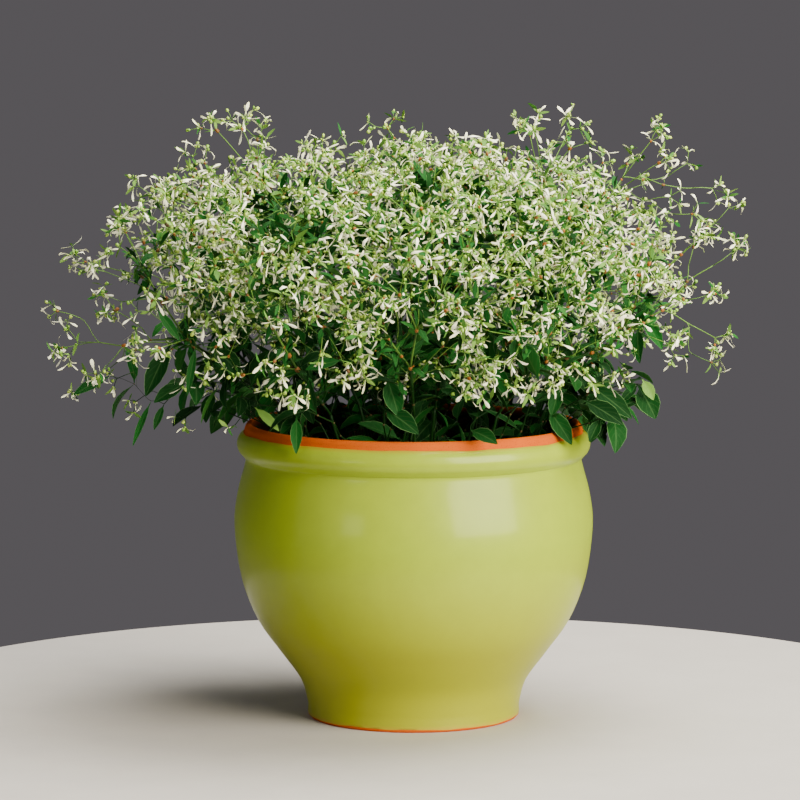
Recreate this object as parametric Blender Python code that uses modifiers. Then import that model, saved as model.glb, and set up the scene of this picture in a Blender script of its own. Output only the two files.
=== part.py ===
"""A potted euphorbia: a glazed terracotta pot filled with potting soil, and the leafy stems that stand
in it, fork again and again and end in small florets with white bracts.

Metres, +Z up. The origin is the centre of the pot's flat foot, and the plant is widest along X."""

import math
import random

import bmesh
import bpy
import numpy as np
from mathutils import Matrix, Vector

MM = 0.001
GAP = 0.3 * MM  # between pieces that touch

# The pot, all in millimetres: its wall is a smooth curve through (radius, height) points
FOOT_RADIUS = 53.0
FOOT_CHAMFER = 1.0
WALL = [(52.7, 6.0), (56.4, 18.8), (67.0, 33.6), (77.9, 49.2), (86.0, 70.4), (89.4, 96.0), (87.9, 112.5)]
NECK = (83.8, 128.5)
ROLL_RADIUS = 88.0  # the rolled rim at its widest
ROLL_HEIGHT = 137.0
LIP_RADIUS = 84.6  # where the glaze ends and the bare clay band begins
LIP_HEIGHT = 144.0
POT_HEIGHT = 148.0
LIP_INNER_RADIUS = 80.0
WALL_THICKNESS = 6.5
FLOOR_THICKNESS = 9.0
SOIL_HEIGHT = 124.0  # below the rim by a finger's width
WALL_STEPS = 2  # between each pair of the wall's points
POT_SIDES = 32
SOIL_SIDES = 16  # each corner lies at a corner of the pot's inner wall

# The crown of the plant: an uneven dome, wider to the left (-X), with its florets near its surface
DOME_CENTRE = Vector((0, 0, 226)) * MM
DOME_LEFT = 158 * MM
DOME_RIGHT = 142 * MM
DOME_DEPTH = 142 * MM
DOME_UP = 72 * MM
DOME_DOWN = 84 * MM
SHELL = (0.68, 1.0)  # where the florets lie, as shares of the way out to the dome's surface
LOWEST_FLORET = 168 * MM
FLORETS_IN_DOME = 188
CANDIDATES = 5000
CROWN_SEED = 4

# Long sprays that reach past the dome, each tip in millimetres
LONG_SPRAYS = [
    (-98, -26, 296), (-84, -14, 302), (-14, 12, 303), (56, -16, 302), (80, 30, 296), (119, -12, 292),
    (133, -30, 284), (160, 0, 268), (166, -26, 240), (158, 18, 212), (158, -24, 188), (-166, 12, 228),
    (-174, -16, 192), (-152, -46, 178), (-92, -48, 143), (30, 148, 262), (-60, 150, 214), (88, 128, 190),
    (20, -156, 214), (-44, -146, 252),
]

# Stems: one in the middle, a ring of 5 round it and a ring of 10 outside, each in its own sector
SECTOR_APEX = Vector((0, 0, 90)) * MM
INNER_STEMS = 5
OUTER_STEMS = 10
INNER_ELEVATION = math.radians(67)
OUTER_ELEVATION = math.radians(37)
OUTER_TURN = math.radians(18)
INNER_ROOT = 20 * MM  # how far from the middle a stem stands in the soil
OUTER_ROOT = 50 * MM
INNER_COLLAR = 33 * MM  # and where it passes the height of the rim
OUTER_COLLAR = 69 * MM
COLLAR_HEIGHT = 158 * MM
HOLE_DEPTH = 14 * MM
HOLE_SIDES = 6
FORK_AT = 0.42  # each fork lies this share of the way on to the middle of the tips it carries
FORK_SPREAD = 0.7  # and at least this share of how far aside a tip lies before it comes abreast of it
SHORTEST_BRANCH = 6 * MM
NEAR_TIP = 14 * MM  # a tip that needs its fork nearer than this has a side shoot of its own
NO_ROOM = 2 * MM  # and one that needs it nearer than this is left out
TWIG_RADIUS = 0.62 * MM
STEM_GROWTH = 0.40  # a stem that carries n tips is n ** this times as thick as a twig

# Florets: four bracts, two long and two short, joined round a small capsule
LONG_BRACT = 14 * MM
SHORT_BRACT = 10 * MM
BRACT_WIDTH = 6 * MM
BRACT_NOTCH = 2.2 * MM
FLORET_HEIGHT = 2.4 * MM
FLORET_SINK = 0.8 * MM
FLORET_ROOM = 14.5 * MM  # kept clear round a floret's middle to the next stem's sector

# Leaves
LEAF_LENGTH = 28 * MM
LEAF_WIDTH = 10 * MM
LEAF_THICKNESS = 1.4 * MM  # at the keel under its midrib
LEAF_ARCH = 0.14  # as a share of its length
LEAF_ROOM = 1.2 * MM
LEAFY_FORK = 5  # forks that carry at least this many tips have a pair of leaves

STEM_SLOT, LEAF_SLOT, BRACT_SLOT = range(3)


def material(name, colour, roughness):
    made = bpy.data.materials.new(name)
    made.use_nodes = True
    shader = made.node_tree.nodes["Principled BSDF"]
    shader.inputs["Base Color"].default_value = (*colour, 1)
    shader.inputs["Roughness"].default_value = roughness
    made.diffuse_color = (*colour, 1)
    return made


def add_object(name, mesh, collection, materials):
    made = bpy.data.objects.new(name, mesh)
    for each in materials:
        mesh.materials.append(each)
    collection.objects.link(made)
    return made


def catmull_rom(t, p, q, r, s):
    """The value at share t of the way from q to r."""
    return 0.5 * (2 * q + (r - p) * t + (2 * p - 5 * q + 4 * r - s) * t**2 + (3 * q - p - 3 * r + s) * t**3)


def smooth_curve(points, steps):
    """Points of a Catmull-Rom curve through the given ones, with this many steps between each pair."""
    ends = [points[0]] + points + [points[-1]]
    curve = []
    for a, b, c, d in zip(ends, ends[1:], ends[2:], ends[3:]):
        for step in range(steps):
            t = step / steps
            curve.append(tuple(catmull_rom(t, *four) for four in zip(a, b, c, d)))
    return curve + [points[-1]]


def turned(name, outline, sides, collection, materials):
    """A solid turned round Z. The outline holds (radius, height) in millimetres, inside first."""
    bm = bmesh.new()
    verts = [bm.verts.new((radius * MM, 0, height * MM)) for radius, height in outline]
    for a, b in zip(verts, verts[1:]):
        bm.edges.new((a, b))
    mesh = bpy.data.meshes.new(name)
    bm.to_mesh(mesh)
    bm.free()
    made = add_object(name, mesh, collection, materials)
    screw = made.modifiers.new("turn", "SCREW")
    screw.angle = math.tau
    screw.steps = sides
    screw.render_steps = sides
    screw.use_merge_vertices = True
    screw.merge_threshold = 0.00005
    return made


def inner_wall():
    """The pot's inside from the floor up to the lip, in millimetres: the wall's curve moved inwards."""
    floor_edge = (WALL[1][0] - WALL_THICKNESS - 3, FLOOR_THICKNESS)
    wall = [(radius - WALL_THICKNESS, height) for radius, height in WALL[2::2]]
    return [floor_edge] + wall + [(NECK[0] - WALL_THICKNESS, NECK[1])]


def pot(collection, materials):
    roll = [(NECK[0] + 0.9, NECK[1] + 2.8), (ROLL_RADIUS - 1.0, ROLL_HEIGHT - 3.0), (ROLL_RADIUS, ROLL_HEIGHT)]
    roll.append((ROLL_RADIUS - 1.1, ROLL_HEIGHT + 4.3))
    lip = [(LIP_RADIUS, LIP_HEIGHT), (LIP_RADIUS - 0.7, POT_HEIGHT - 1.2), (LIP_RADIUS - 2.2, POT_HEIGHT)]
    inner_lip = [(LIP_INNER_RADIUS, LIP_HEIGHT), (LIP_INNER_RADIUS + 1.2, POT_HEIGHT)]
    outside = [(FOOT_RADIUS - FOOT_CHAMFER, 0), (FOOT_RADIUS, FOOT_CHAMFER)]
    outside += smooth_curve(WALL + [NECK], WALL_STEPS)
    outline = [(0, FLOOR_THICKNESS)] + inner_wall() + inner_lip
    outline += lip[::-1] + roll[::-1] + outside[::-1] + [(0, 0)]
    return turned("pot", outline, POT_SIDES, collection, materials)


def potting_soil(stem_feet, collection, cutters, materials):
    """Fills the pot, with a plain hole for each stem. Its sides keep a small gap to the pot's wall."""
    gap = GAP / MM
    wall = [(radius - 1.3 * gap, height) for radius, height in inner_wall() if height < SOIL_HEIGHT]
    wall[0] = (wall[0][0], FLOOR_THICKNESS + gap)
    top_radius = NECK[0] - WALL_THICKNESS + 1.0
    outline = [(0, SOIL_HEIGHT), (top_radius - 8, SOIL_HEIGHT - 0.8), (top_radius, SOIL_HEIGHT - 2.5)]
    outline += wall[::-1] + [(0, FLOOR_THICKNESS + gap)]
    made = turned("potting_soil", outline, SOIL_SIDES, collection, materials)
    holes = bpy.data.collections.new("stem holes")
    cutters.children.link(holes)
    for number, (foot, radius) in enumerate(stem_feet, 1):
        bm = bmesh.new()
        hole_radius = (radius + GAP) / math.cos(math.pi / HOLE_SIDES)
        bmesh.ops.create_cone(
            bm, cap_ends=True, segments=HOLE_SIDES,
            radius1=hole_radius, radius2=hole_radius, depth=2 * HOLE_DEPTH,
        )
        mesh = bpy.data.meshes.new(f"hole_{number:02d}")
        bm.to_mesh(mesh)
        bm.free()
        hole = add_object(mesh.name, mesh, holes, [])
        hole.location = (foot.x, foot.y, SOIL_HEIGHT * MM)
        hole.hide_render = True
        hole.display_type = "WIRE"
    cut = made.modifiers.new("stem holes", "BOOLEAN")
    cut.operand_type = "COLLECTION"
    cut.collection = holes
    cut.solver = "EXACT"
    return made


def from_polar(azimuth, elevation, distance=1.0):
    flat = math.cos(elevation) * distance
    return Vector((flat * math.cos(azimuth), flat * math.sin(azimuth), math.sin(elevation) * distance))


def sectors():
    """The direction from the apex through the middle of each stem's sector: middle, inner, outer ring."""
    inner = [from_polar(math.tau * k / INNER_STEMS, INNER_ELEVATION) for k in range(INNER_STEMS)]
    outer = [from_polar(math.tau * k / OUTER_STEMS + OUTER_TURN, OUTER_ELEVATION) for k in range(OUTER_STEMS)]
    return [Vector((0, 0, 1))] + inner + outer


def walls_of(sector, directions):
    """The outward normals of the planes through the apex that part this sector from the others."""
    return [(other - directions[sector]).normalized() for k, other in enumerate(directions) if k != sector]


def room(point, walls):
    """How far inside its sector a point lies."""
    return min(-(point - SECTOR_APEX).dot(wall) for wall in walls)


def kept_inside(point, walls, margin):
    """The point moved into its sector until it is the margin away from every wall."""
    for _ in range(6):
        for wall in walls:
            over = (point - SECTOR_APEX).dot(wall) + margin
            if over > 0:
                point = point - wall * over
    return point


def share_of_dome(point):
    """How far out a point is, as a share of the way from the dome's centre to its surface."""
    away = point - DOME_CENTRE
    across = DOME_LEFT if away.x < 0 else DOME_RIGHT
    height = DOME_UP if away.z > 0 else DOME_DOWN
    return math.sqrt((away.x / across) ** 2 + (away.y / DOME_DEPTH) ** 2 + (away.z / height) ** 2)


def floret_places():
    """Places spread evenly through the dome's shell, each as far as can be from those before it."""
    draw = random.Random(CROWN_SEED)
    pool = []
    while len(pool) < CANDIDATES:
        point = Vector((
            draw.uniform(-DOME_LEFT, DOME_RIGHT), draw.uniform(-DOME_DEPTH, DOME_DEPTH),
            draw.uniform(LOWEST_FLORET, DOME_CENTRE.z + DOME_UP),
        ))
        if SHELL[0] < share_of_dome(point) < SHELL[1]:
            pool.append(point)
    places = [Vector(tip) * MM for tip in LONG_SPRAYS]
    left = np.array(pool)
    nearest = np.full(len(left), np.inf)
    for place in places:
        nearest = np.minimum(nearest, np.linalg.norm(left - np.array(place), axis=1))
    for _ in range(FLORETS_IN_DOME):
        place = left[int(nearest.argmax())]
        places.append(Vector(place))
        nearest = np.minimum(nearest, np.linalg.norm(left - place, axis=1))
    return places


def halves(tips):
    """Tips split in two across the line on which they spread the most."""
    spread = np.array(tips) - np.mean(tips, axis=0)
    line = np.linalg.svd(spread)[2][0]
    line = line * (1 if line[int(np.abs(line).argmax())] > 0 else -1)
    order = [tips[k] for k in np.argsort(spread @ line, kind="stable")]
    return order[: len(order) // 2], order[len(order) // 2 :]


def thickness(tip_count):
    return TWIG_RADIUS * tip_count**STEM_GROWTH


def grow(start, tips):
    """A stem's growth from a place to these tips: it forks in two until each branch has one tip.

    A tip too near to fork to is left out."""
    centre = sum(tips, Vector()) / len(tips)
    way = (centre - start).normalized()
    reaches = []
    for tip in tips:
        ahead = (tip - start).dot(way)
        aside = (tip - start - way * ahead).length
        reaches.append(ahead - FORK_SPREAD * aside)
    nearest = reaches.index(min(reaches))
    others = tips[:nearest] + tips[nearest + 1 :]
    if not others:
        return {"place": tips[0], "way": way, "tips": 1, "branches": []}
    if reaches[nearest] < NO_ROOM:
        return grow(start, others)
    fork = start + way * max(SHORTEST_BRANCH, min(reaches[nearest], FORK_AT * (centre - start).length))
    groups = ([tips[nearest]], others) if reaches[nearest] < NEAR_TIP else halves(tips)
    branches = [grow(fork, group) for group in groups]
    tip_count = sum(branch["tips"] for branch in branches)
    return {"place": fork, "way": way, "tips": tip_count, "branches": branches}


def nodes_of(growth):
    """This fork or tip and all that come after it."""
    return [growth] + [node for branch in growth["branches"] for node in nodes_of(branch)]


def stem_plans():
    """For each stem, its foot in the soil, how it grows, and its sector's walls."""
    directions = sectors()
    tips_of = [[] for _ in directions]
    for place in floret_places():
        away = place - SECTOR_APEX
        tips_of[max(range(len(directions)), key=lambda k: away.dot(directions[k]))].append(place)
    plans = []
    for sector, direction in enumerate(directions):
        walls = walls_of(sector, directions)
        outward = Vector((direction.x, direction.y, 0)).normalized()
        is_outer = sector > INNER_STEMS
        root = outward * (OUTER_ROOT if is_outer else INNER_ROOT if sector else 0)
        collar = outward * (OUTER_COLLAR if is_outer else INNER_COLLAR if sector else 0)
        foot = root + Vector((0, 0, SOIL_HEIGHT * MM - HOLE_DEPTH + GAP))
        knee = root + Vector((0, 0, SOIL_HEIGHT * MM + 3 * MM))
        collar = collar + Vector((0, 0, COLLAR_HEIGHT))
        tips = [kept_inside(tip, walls, FLORET_ROOM) for tip in tips_of[sector]]
        plans.append({
            "foot": foot, "knee": knee, "collar": collar, "growth": grow(collar, tips),
            "walls": walls, "outward": outward, "is_outer": is_outer,
        })
    return plans


def ring(bm, face, place, way, radius):
    """Extrudes a triangle to a ring square to the way, turned to match the triangle's own corners."""
    grown = bmesh.ops.extrude_discrete_faces(bm, faces=[face])["faces"][0]
    corners = [loop.vert for loop in grown.loops]
    centre = grown.calc_center_median()
    turns = [Matrix.Rotation(math.tau * k / 3, 3, way) for k in range(3)]
    first = sum((turn.inverted() @ (corner.co - centre) for turn, corner in zip(turns, corners)), Vector())
    first = (first - way * first.dot(way)).normalized()
    for turn, corner in zip(turns, corners):
        corner.co = place + turn @ first * radius
    return grown


def branch_out(bm, face, growth):
    """Grows a three-sided tube from a face to the next fork, whose end is then poked for two more."""
    place, way, radius = growth["place"], growth["way"], thickness(growth["tips"])
    end = ring(bm, face, place, way, radius)
    if not growth["branches"]:
        return
    poked = bmesh.ops.poke(bm, faces=[end])
    poked["verts"][0].co = place + way * radius * 0.7
    one, other = growth["branches"]
    apart = other["way"] - one["way"]
    sides = sorted(poked["faces"], key=lambda side: (side.calc_center_median() - place).dot(apart))
    branch_out(bm, sides[0], one)
    branch_out(bm, sides[2], other)


def triangles(name, bm):
    """Frees the bmesh and returns its mesh, in triangles that face outward."""
    bmesh.ops.recalc_face_normals(bm, faces=bm.faces)
    bmesh.ops.triangulate(bm, faces=bm.faces)
    mesh = bpy.data.meshes.new(name)
    bm.to_mesh(mesh)
    bm.free()
    return mesh


def stem_mesh(name, plan):
    """The bare stem: a prism in the soil, grown on past the rim and out through all its forks."""
    radius = thickness(plan["growth"]["tips"])
    bm = bmesh.new()
    bmesh.ops.create_cone(
        bm, cap_ends=True, segments=3, radius1=radius, radius2=radius,
        depth=plan["knee"].z - plan["foot"].z,
        matrix=Matrix.Translation(plan["foot"].lerp(plan["knee"], 0.5)),
    )
    top = max(bm.faces, key=lambda face: face.calc_center_median().z)
    collar = ring(bm, top, plan["collar"], (plan["collar"] - plan["knee"]).normalized(), radius)
    branch_out(bm, collar, plan["growth"])
    return triangles(name, bm)


def facing(axis, turn):
    """A rotation that takes +Z to the axis and turns the piece about it."""
    return axis.to_track_quat("Z", "Y").to_matrix().to_4x4() @ Matrix.Rotation(turn, 4, "Z")


def floret_mesh(name, place, axis, draw):
    """Four flat bracts round a raised middle: a low cone whose rim is drawn out into the bracts."""
    corners = 3  # of each bract: the notch before it and its left and right shoulders
    bm = bmesh.new()
    bmesh.ops.create_cone(
        bm, cap_ends=True, segments=4 * corners, radius1=1, radius2=0, depth=FLORET_HEIGHT,
        matrix=Matrix.Translation((0, 0, FLORET_HEIGHT / 2)),
    )
    rim = [vert for vert in bm.verts if vert.co.xy.length > 0.5]
    rim.sort(key=lambda vert: math.atan2(vert.co.y, vert.co.x) % math.tau)
    notches = rim[::corners]
    for a, b in zip(notches, notches[1:] + notches[:1]):
        bmesh.ops.connect_vert_pair(bm, verts=[a, b])
    for bract in range(4):
        length = (LONG_BRACT, SHORT_BRACT)[bract % 2] * draw.uniform(0.88, 1.0)
        rise = draw.uniform(-0.45, 0.5)
        turn = math.tau * (bract + 0.5) / 4 + draw.uniform(-0.12, 0.12)
        along = Vector((math.cos(turn), math.sin(turn), rise)).normalized()
        across = Vector((-math.sin(turn), math.cos(turn), 0)) * BRACT_WIDTH / 2
        notch, left, right = rim[bract * corners : (bract + 1) * corners]
        notch_angle = math.tau * bract / 4
        notch.co = Vector((math.cos(notch_angle), math.sin(notch_angle), 0)) * BRACT_NOTCH
        left.co = along * length - across
        right.co = along * length + across
    place_matrix = Matrix.Translation(place - axis * FLORET_SINK) @ facing(axis, draw.uniform(0, math.tau))
    bmesh.ops.transform(bm, matrix=place_matrix, verts=bm.verts)
    return triangles(name, bm)


def leaf_mesh(name, base, tip):
    """A pointed blade with a keel under its midrib, arched from its base to its tip."""
    length = (tip - base).length
    bm = bmesh.new()
    bmesh.ops.create_uvsphere(bm, u_segments=3, v_segments=4, radius=1)
    for vert in bm.verts:
        share = (vert.co.z + 1) / 2
        breadth = math.sin(math.pi * share**0.85) ** 0.8
        side = 0 if abs(vert.co.x) < 0.1 else math.copysign(1, vert.co.x)
        keel = 0 if side or breadth < 0.1 else LEAF_THICKNESS
        arch = 4 * share * (1 - share) * LEAF_ARCH * length
        vert.co = Vector((side * breadth * LEAF_WIDTH / 2, share * length, arch - keel))
    forward = (tip - base).normalized()
    right = forward.cross(Vector((0, 0, 1))).normalized()
    frame = Matrix((right, forward, right.cross(forward))).transposed().to_4x4()
    bmesh.ops.transform(bm, matrix=Matrix.Translation(base) @ frame, verts=bm.verts)
    return triangles(name, bm)


def clears_pot(point):
    """Whether a point is outside the pot's rim or well above it."""
    return math.hypot(point.x, point.y) > (ROLL_RADIUS + 3) * MM or point.z > (POT_HEIGHT + 3) * MM


def leaf_pair(base, heading, size, plan, draw):
    """The ends of two opposite leaves, turned about the stem to where they have the most room."""
    side = heading.orthogonal().normalized()
    best_room, best_tips = LEAF_ROOM + LEAF_WIDTH * size * 0.3, []
    for step in range(9):
        across = Matrix.Rotation(math.pi * (step + draw.random()) / 9, 3, heading) @ side
        tips = []
        for sign in (-1, 1):
            way = (across * sign + heading * 0.45 - Vector((0, 0, 0.25))).normalized()
            tips.append(base + way * LEAF_LENGTH * size)
        clear = all(clears_pot(base.lerp(tip, 0.5)) and clears_pot(tip) for tip in tips)
        least = min(room(tip, plan["walls"]) for tip in tips)
        if clear and least > best_room:
            best_room, best_tips = least, tips
    return best_tips


def rim_leaf(side, plan, draw):
    """The base and tip of a leaf that leans out over the pot's rim: to one side it also hangs down."""
    base = plan["knee"].lerp(plan["collar"], 0.86 - 0.08 * side)
    swing = Matrix.Rotation(side * draw.uniform(0.1, 0.2), 3, "Z")
    reach, height = draw.uniform(98, 106) * MM, (148 + 5 * side + draw.uniform(-3, 3)) * MM
    return base, (swing @ plan["outward"]) * reach + Vector((0, 0, height))


def union(base, pieces):
    """Joins the pieces to the base as one body, and removes them."""
    join = base.modifiers.new("join", "BOOLEAN")
    join.operation = "UNION"
    join.operand_type = "COLLECTION"
    join.collection = pieces
    join.solver = "MANIFOLD"
    joined = bpy.data.meshes.new_from_object(base.evaluated_get(bpy.context.evaluated_depsgraph_get()))
    base.modifiers.clear()
    old = base.data
    base.data = joined
    joined.name = base.name
    bpy.data.meshes.remove(old)
    for piece in list(pieces.objects):
        bpy.data.objects.remove(piece)
    bpy.data.collections.remove(pieces)


def euphorbia_stem(number, plan, collection, materials):
    """One leafy stem with all that grows on it, fused into one body."""
    draw = random.Random(CROWN_SEED + number)
    name = f"euphorbia_stem_{number:02d}"
    pieces = bpy.data.collections.new(f"{name} pieces")
    bpy.context.scene.collection.children.link(pieces)

    def add_piece(mesh, slot):
        mesh.polygons.foreach_set("material_index", [slot] * len(mesh.polygons))
        add_object(mesh.name, mesh, pieces, materials)

    base = add_object(name, stem_mesh(name, plan), collection, materials)
    leaf_nodes = [(plan["collar"], (plan["collar"] - plan["knee"]).normalized(), 1)]
    for node in nodes_of(plan["growth"]):
        if node["tips"] == 1:
            away = (node["place"] - DOME_CENTRE).normalized()
            axis = (node["way"] + away * 0.8 + Vector((0, 0, 0.5))).normalized()
            add_piece(floret_mesh("floret", node["place"], axis, draw), BRACT_SLOT)
        elif node["tips"] >= LEAFY_FORK:
            below = node["place"] - node["way"] * (1.5 * MM + thickness(node["tips"]))
            leaf_nodes.append((below, node["way"], draw.uniform(0.75, 1.0)))
    for place, way, size in leaf_nodes:
        for tip in leaf_pair(place, way, size, plan, draw):
            add_piece(leaf_mesh("leaf", place, tip), LEAF_SLOT)
    if plan["is_outer"]:
        for side in (-1, 1):
            add_piece(leaf_mesh("leaf", *rim_leaf(side, plan, draw)), LEAF_SLOT)
    union(base, pieces)
    return base


def main():
    for old in list(bpy.data.objects):
        bpy.data.objects.remove(old)
    scene_collection = bpy.context.scene.collection
    potted_plant = bpy.data.collections.new("potted euphorbia")
    cutters = bpy.data.collections.new("cutters")
    scene_collection.children.link(potted_plant)
    scene_collection.children.link(cutters)
    glaze = material("yellow-green glaze", (0.42, 0.46, 0.10), 0.25)
    soil = material("potting soil", (0.03, 0.02, 0.014), 0.95)
    stem_green = material("green stem", (0.10, 0.28, 0.05), 0.5)
    leaf_green = material("leaf green", (0.03, 0.14, 0.03), 0.45)
    bract_white = material("white bract", (0.85, 0.80, 0.74), 0.6)
    plans = stem_plans()
    pot(potted_plant, [glaze])
    stem_feet = [(plan["foot"], thickness(plan["growth"]["tips"])) for plan in plans]
    potting_soil(stem_feet, potted_plant, cutters, [soil])
    for number, plan in enumerate(plans, 1):
        euphorbia_stem(number, plan, potted_plant, [stem_green, leaf_green, bract_white])


main()
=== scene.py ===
"""A potted euphorbia: thin green stems that fork again and again, with small leaves and clouds of white
bracts, in a round terracotta pot with a yellow-green glaze. Metres, +Z up, standing on z = 0."""

import math
import random

import bpy
import numpy as np
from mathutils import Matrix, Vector


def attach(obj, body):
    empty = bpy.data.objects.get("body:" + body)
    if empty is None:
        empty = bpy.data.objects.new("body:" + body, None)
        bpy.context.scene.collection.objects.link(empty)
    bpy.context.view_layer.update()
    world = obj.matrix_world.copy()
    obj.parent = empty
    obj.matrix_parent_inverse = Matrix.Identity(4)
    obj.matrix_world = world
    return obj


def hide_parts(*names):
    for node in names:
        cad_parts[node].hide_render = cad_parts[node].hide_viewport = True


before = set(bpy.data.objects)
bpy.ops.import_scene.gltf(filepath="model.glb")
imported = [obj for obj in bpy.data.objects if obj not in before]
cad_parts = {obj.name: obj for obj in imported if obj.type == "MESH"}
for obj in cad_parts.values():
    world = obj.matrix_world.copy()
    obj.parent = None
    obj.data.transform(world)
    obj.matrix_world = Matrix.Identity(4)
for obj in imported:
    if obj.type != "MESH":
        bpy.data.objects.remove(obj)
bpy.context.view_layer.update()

MM = 0.001

# The camera stands in front of the plant and looks down on it a little, through a long lens, so that the
# pot's rim shows as a thin ellipse and the pot fills the lower half of the square frame.
CAMERA_DISTANCE = 2.17
CAMERA_ELEVATION = math.radians(6.5)
CAMERA_TARGET = Vector((-0.0068, 0, 0.159))
FRAME_WIDTH = 0.4  # of the frame at the target
SENSOR = 36
CLIP_END = 20

camera = bpy.data.objects.new("camera", bpy.data.cameras.new("camera"))
bpy.context.scene.collection.objects.link(camera)
camera.data.sensor_width = SENSOR
camera.data.lens = SENSOR * CAMERA_DISTANCE / FRAME_WIDTH
camera.data.clip_end = CLIP_END
away = Vector((0, -math.cos(CAMERA_ELEVATION), math.sin(CAMERA_ELEVATION)))
camera.location = CAMERA_TARGET + away * CAMERA_DISTANCE
camera.rotation_euler = away.to_track_quat("Z", "Y").to_euler()
bpy.context.scene.camera = camera

# The studio: a round pale board to stand on, a plain grey surround, three large soft lamps, of which the
# strongest is in front on the right and above, and a small lamp low in front on the left.
FLOOR_RADIUS = 0.30
FLOOR_THICKNESS = 0.02
FLOOR_PALE = "#BEBAB2"
FLOOR_MOTTLE = "#B4B0A8"
MOTTLE_SIZE = 25  # mm
SURROUND_GREY = "#5A575A"


def linear(hex_colour):
    """An sRGB hex colour as linear red, green, blue and alpha."""
    shares = [int(hex_colour[k : k + 2], 16) / 255 for k in (1, 3, 5)]
    return (*(s / 12.92 if s <= 0.04045 else ((s + 0.055) / 1.055) ** 2.4 for s in shares), 1)


def add_node(tree, kind, inputs=(), **settings):
    """A node with its settings. An input gets a value, a hex colour, the output of another node, or another
    node, which stands for its first output in use."""
    node = tree.nodes.new("ShaderNode" + kind)
    for setting, value in settings.items():
        setattr(node, setting, value)
    for socket, value in dict(inputs).items():
        if isinstance(value, bpy.types.Node):
            value = next(output for output in value.outputs if output.enabled)
        if isinstance(value, bpy.types.NodeSocket):
            tree.links.new(value, node.inputs[socket])
        else:
            node.inputs[socket].default_value = linear(value) if isinstance(value, str) else value
    return node


def new_material(name):
    """An empty material and its node tree."""
    made = bpy.data.materials.new(name)
    made.use_nodes = True
    made.node_tree.nodes.clear()
    return made, made.node_tree


# Painted board, matt, with the faint mottle of a rolled coat
board_paint, tree = new_material("rolled matt paint on board")
place = add_node(tree, "TexCoord").outputs["Object"]
mottle = add_node(tree, "TexNoise", {"Vector": place, "Scale": 1000 / MOTTLE_SIZE, "Detail": 3})
paint = add_node(tree, "Mix", {"Factor": mottle, "A": FLOOR_PALE, "B": FLOOR_MOTTLE}, data_type="RGBA")
shader = add_node(tree, "BsdfPrincipled", {"Base Color": paint, "Roughness": 0.6})
add_node(tree, "OutputMaterial", {"Surface": shader})

bpy.ops.mesh.primitive_cylinder_add(
    vertices=160, radius=FLOOR_RADIUS, depth=FLOOR_THICKNESS, location=(0, 0, -FLOOR_THICKNESS / 2),
)
floor = bpy.context.object
floor.name = "floor"
floor.data.materials.append(board_paint)

world = bpy.data.worlds.new("grey surround")
world.use_nodes = True
background = world.node_tree.nodes["Background"]
background.inputs["Color"].default_value = linear(SURROUND_GREY)
background.inputs["Strength"].default_value = 1.0
bpy.context.scene.world = world

# Each lamp: where it stands, its width, its power in watts and the colour of its light
LAMPS = {
    "key softbox": ((1.3, -1.25, 0.78), 1.5, 133, "#FFF6E8"),
    "fill softbox": ((-1.6, -0.95, 0.5), 1.6, 2.2, "#F3F5FF"),
    "overhead softbox": ((0.35, 0.1, 1.6), 0.8, 62, "#FFFBF5"),
    "front lamp": ((-0.94, -1.2, 0.27), 0.36, 1.8, "#FFFFFF"),
}
LAMPS_AIM = Vector((0, 0, 0.18))  # low in the crown
for name, (stand, width, power, colour) in LAMPS.items():
    lamp = bpy.data.objects.new(name, bpy.data.lights.new(name, "AREA"))
    lamp.data.size = width
    lamp.data.energy = power
    lamp.data.color = linear(colour)[:3]
    lamp.location = stand
    lamp.rotation_euler = (Vector(stand) - LAMPS_AIM).to_track_quat("Z", "Y").to_euler()
    bpy.context.scene.collection.objects.link(lamp)

# The pot's clay: a low-fired red earthenware pot, turned on a wheel, with a narrow foot, a round belly and a
# rolled rim. Its lip, its inside and the edge of its foot are left bare.
# Its outline is given as (radius, height) in millimetres.
AXIS = 0.01  # as near as an outline comes to the axis
FOOT_RADIUS = 53.0
FOOT_HOLLOW = 1.6  # how high the underside lies inside the ring that the pot stands on
FOOT_RING = [(-6, FOOT_HOLLOW), (-4, 0.0), (-1, 0.0), (0, 1.0)]  # with the radius beyond the foot's
WALL = [
    (52.7, 6.0), (56.4, 18.8), (67.0, 33.6), (77.9, 49.2), (86.0, 70.4), (89.4, 96.0), (87.9, 112.5),
    (83.8, 128.5),
]
NECK_HEIGHT = 128.5
ROLL = [(84.7, 131.3), (87.0, 134.0), (88.0, 137.0), (87.8, 139.4), (86.9, 141.6), (84.6, 144.0)]
LIP = [(84.5, 145.4), (83.9, 146.8), (83.2, 147.6), (82.3, 148.0)]
INNER_LIP = [(81.3, 147.9), (80.4, 146.8), (80.0, 144.0)]
# how dark the inner lip is from the rim in: partly damp clay, partly painted shade
INNER_LIP_DAMP_AND_SHADE = [0.25, 0.7, 1.0]
WALL_THICKNESS = 6.5
POT_FLOOR = 9.0
CORNER_ACROSS, CORNER_UP = 4, 6  # how much the corner between the wall and the floor inside is filled
WALL_STEPS = 4
POT_SIDES = 144


def catmull_rom(t, p, q, r, s):
    """The value at share t of the way from q to r."""
    return 0.5 * (2 * q + (r - p) * t + (2 * p - 5 * q + 4 * r - s) * t**2 + (3 * q - p - 3 * r + s) * t**3)


def smooth_curve(points, steps):
    """Points of a smooth curve through the given ones, with this many steps between each pair."""
    ends = [points[0]] + points + [points[-1]]
    curve = []
    for four in zip(ends, ends[1:], ends[2:], ends[3:]):
        for step in range(steps):
            curve.append(tuple(catmull_rom(step / steps, *values) for values in zip(*four)))
    return curve + [points[-1]]


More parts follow.
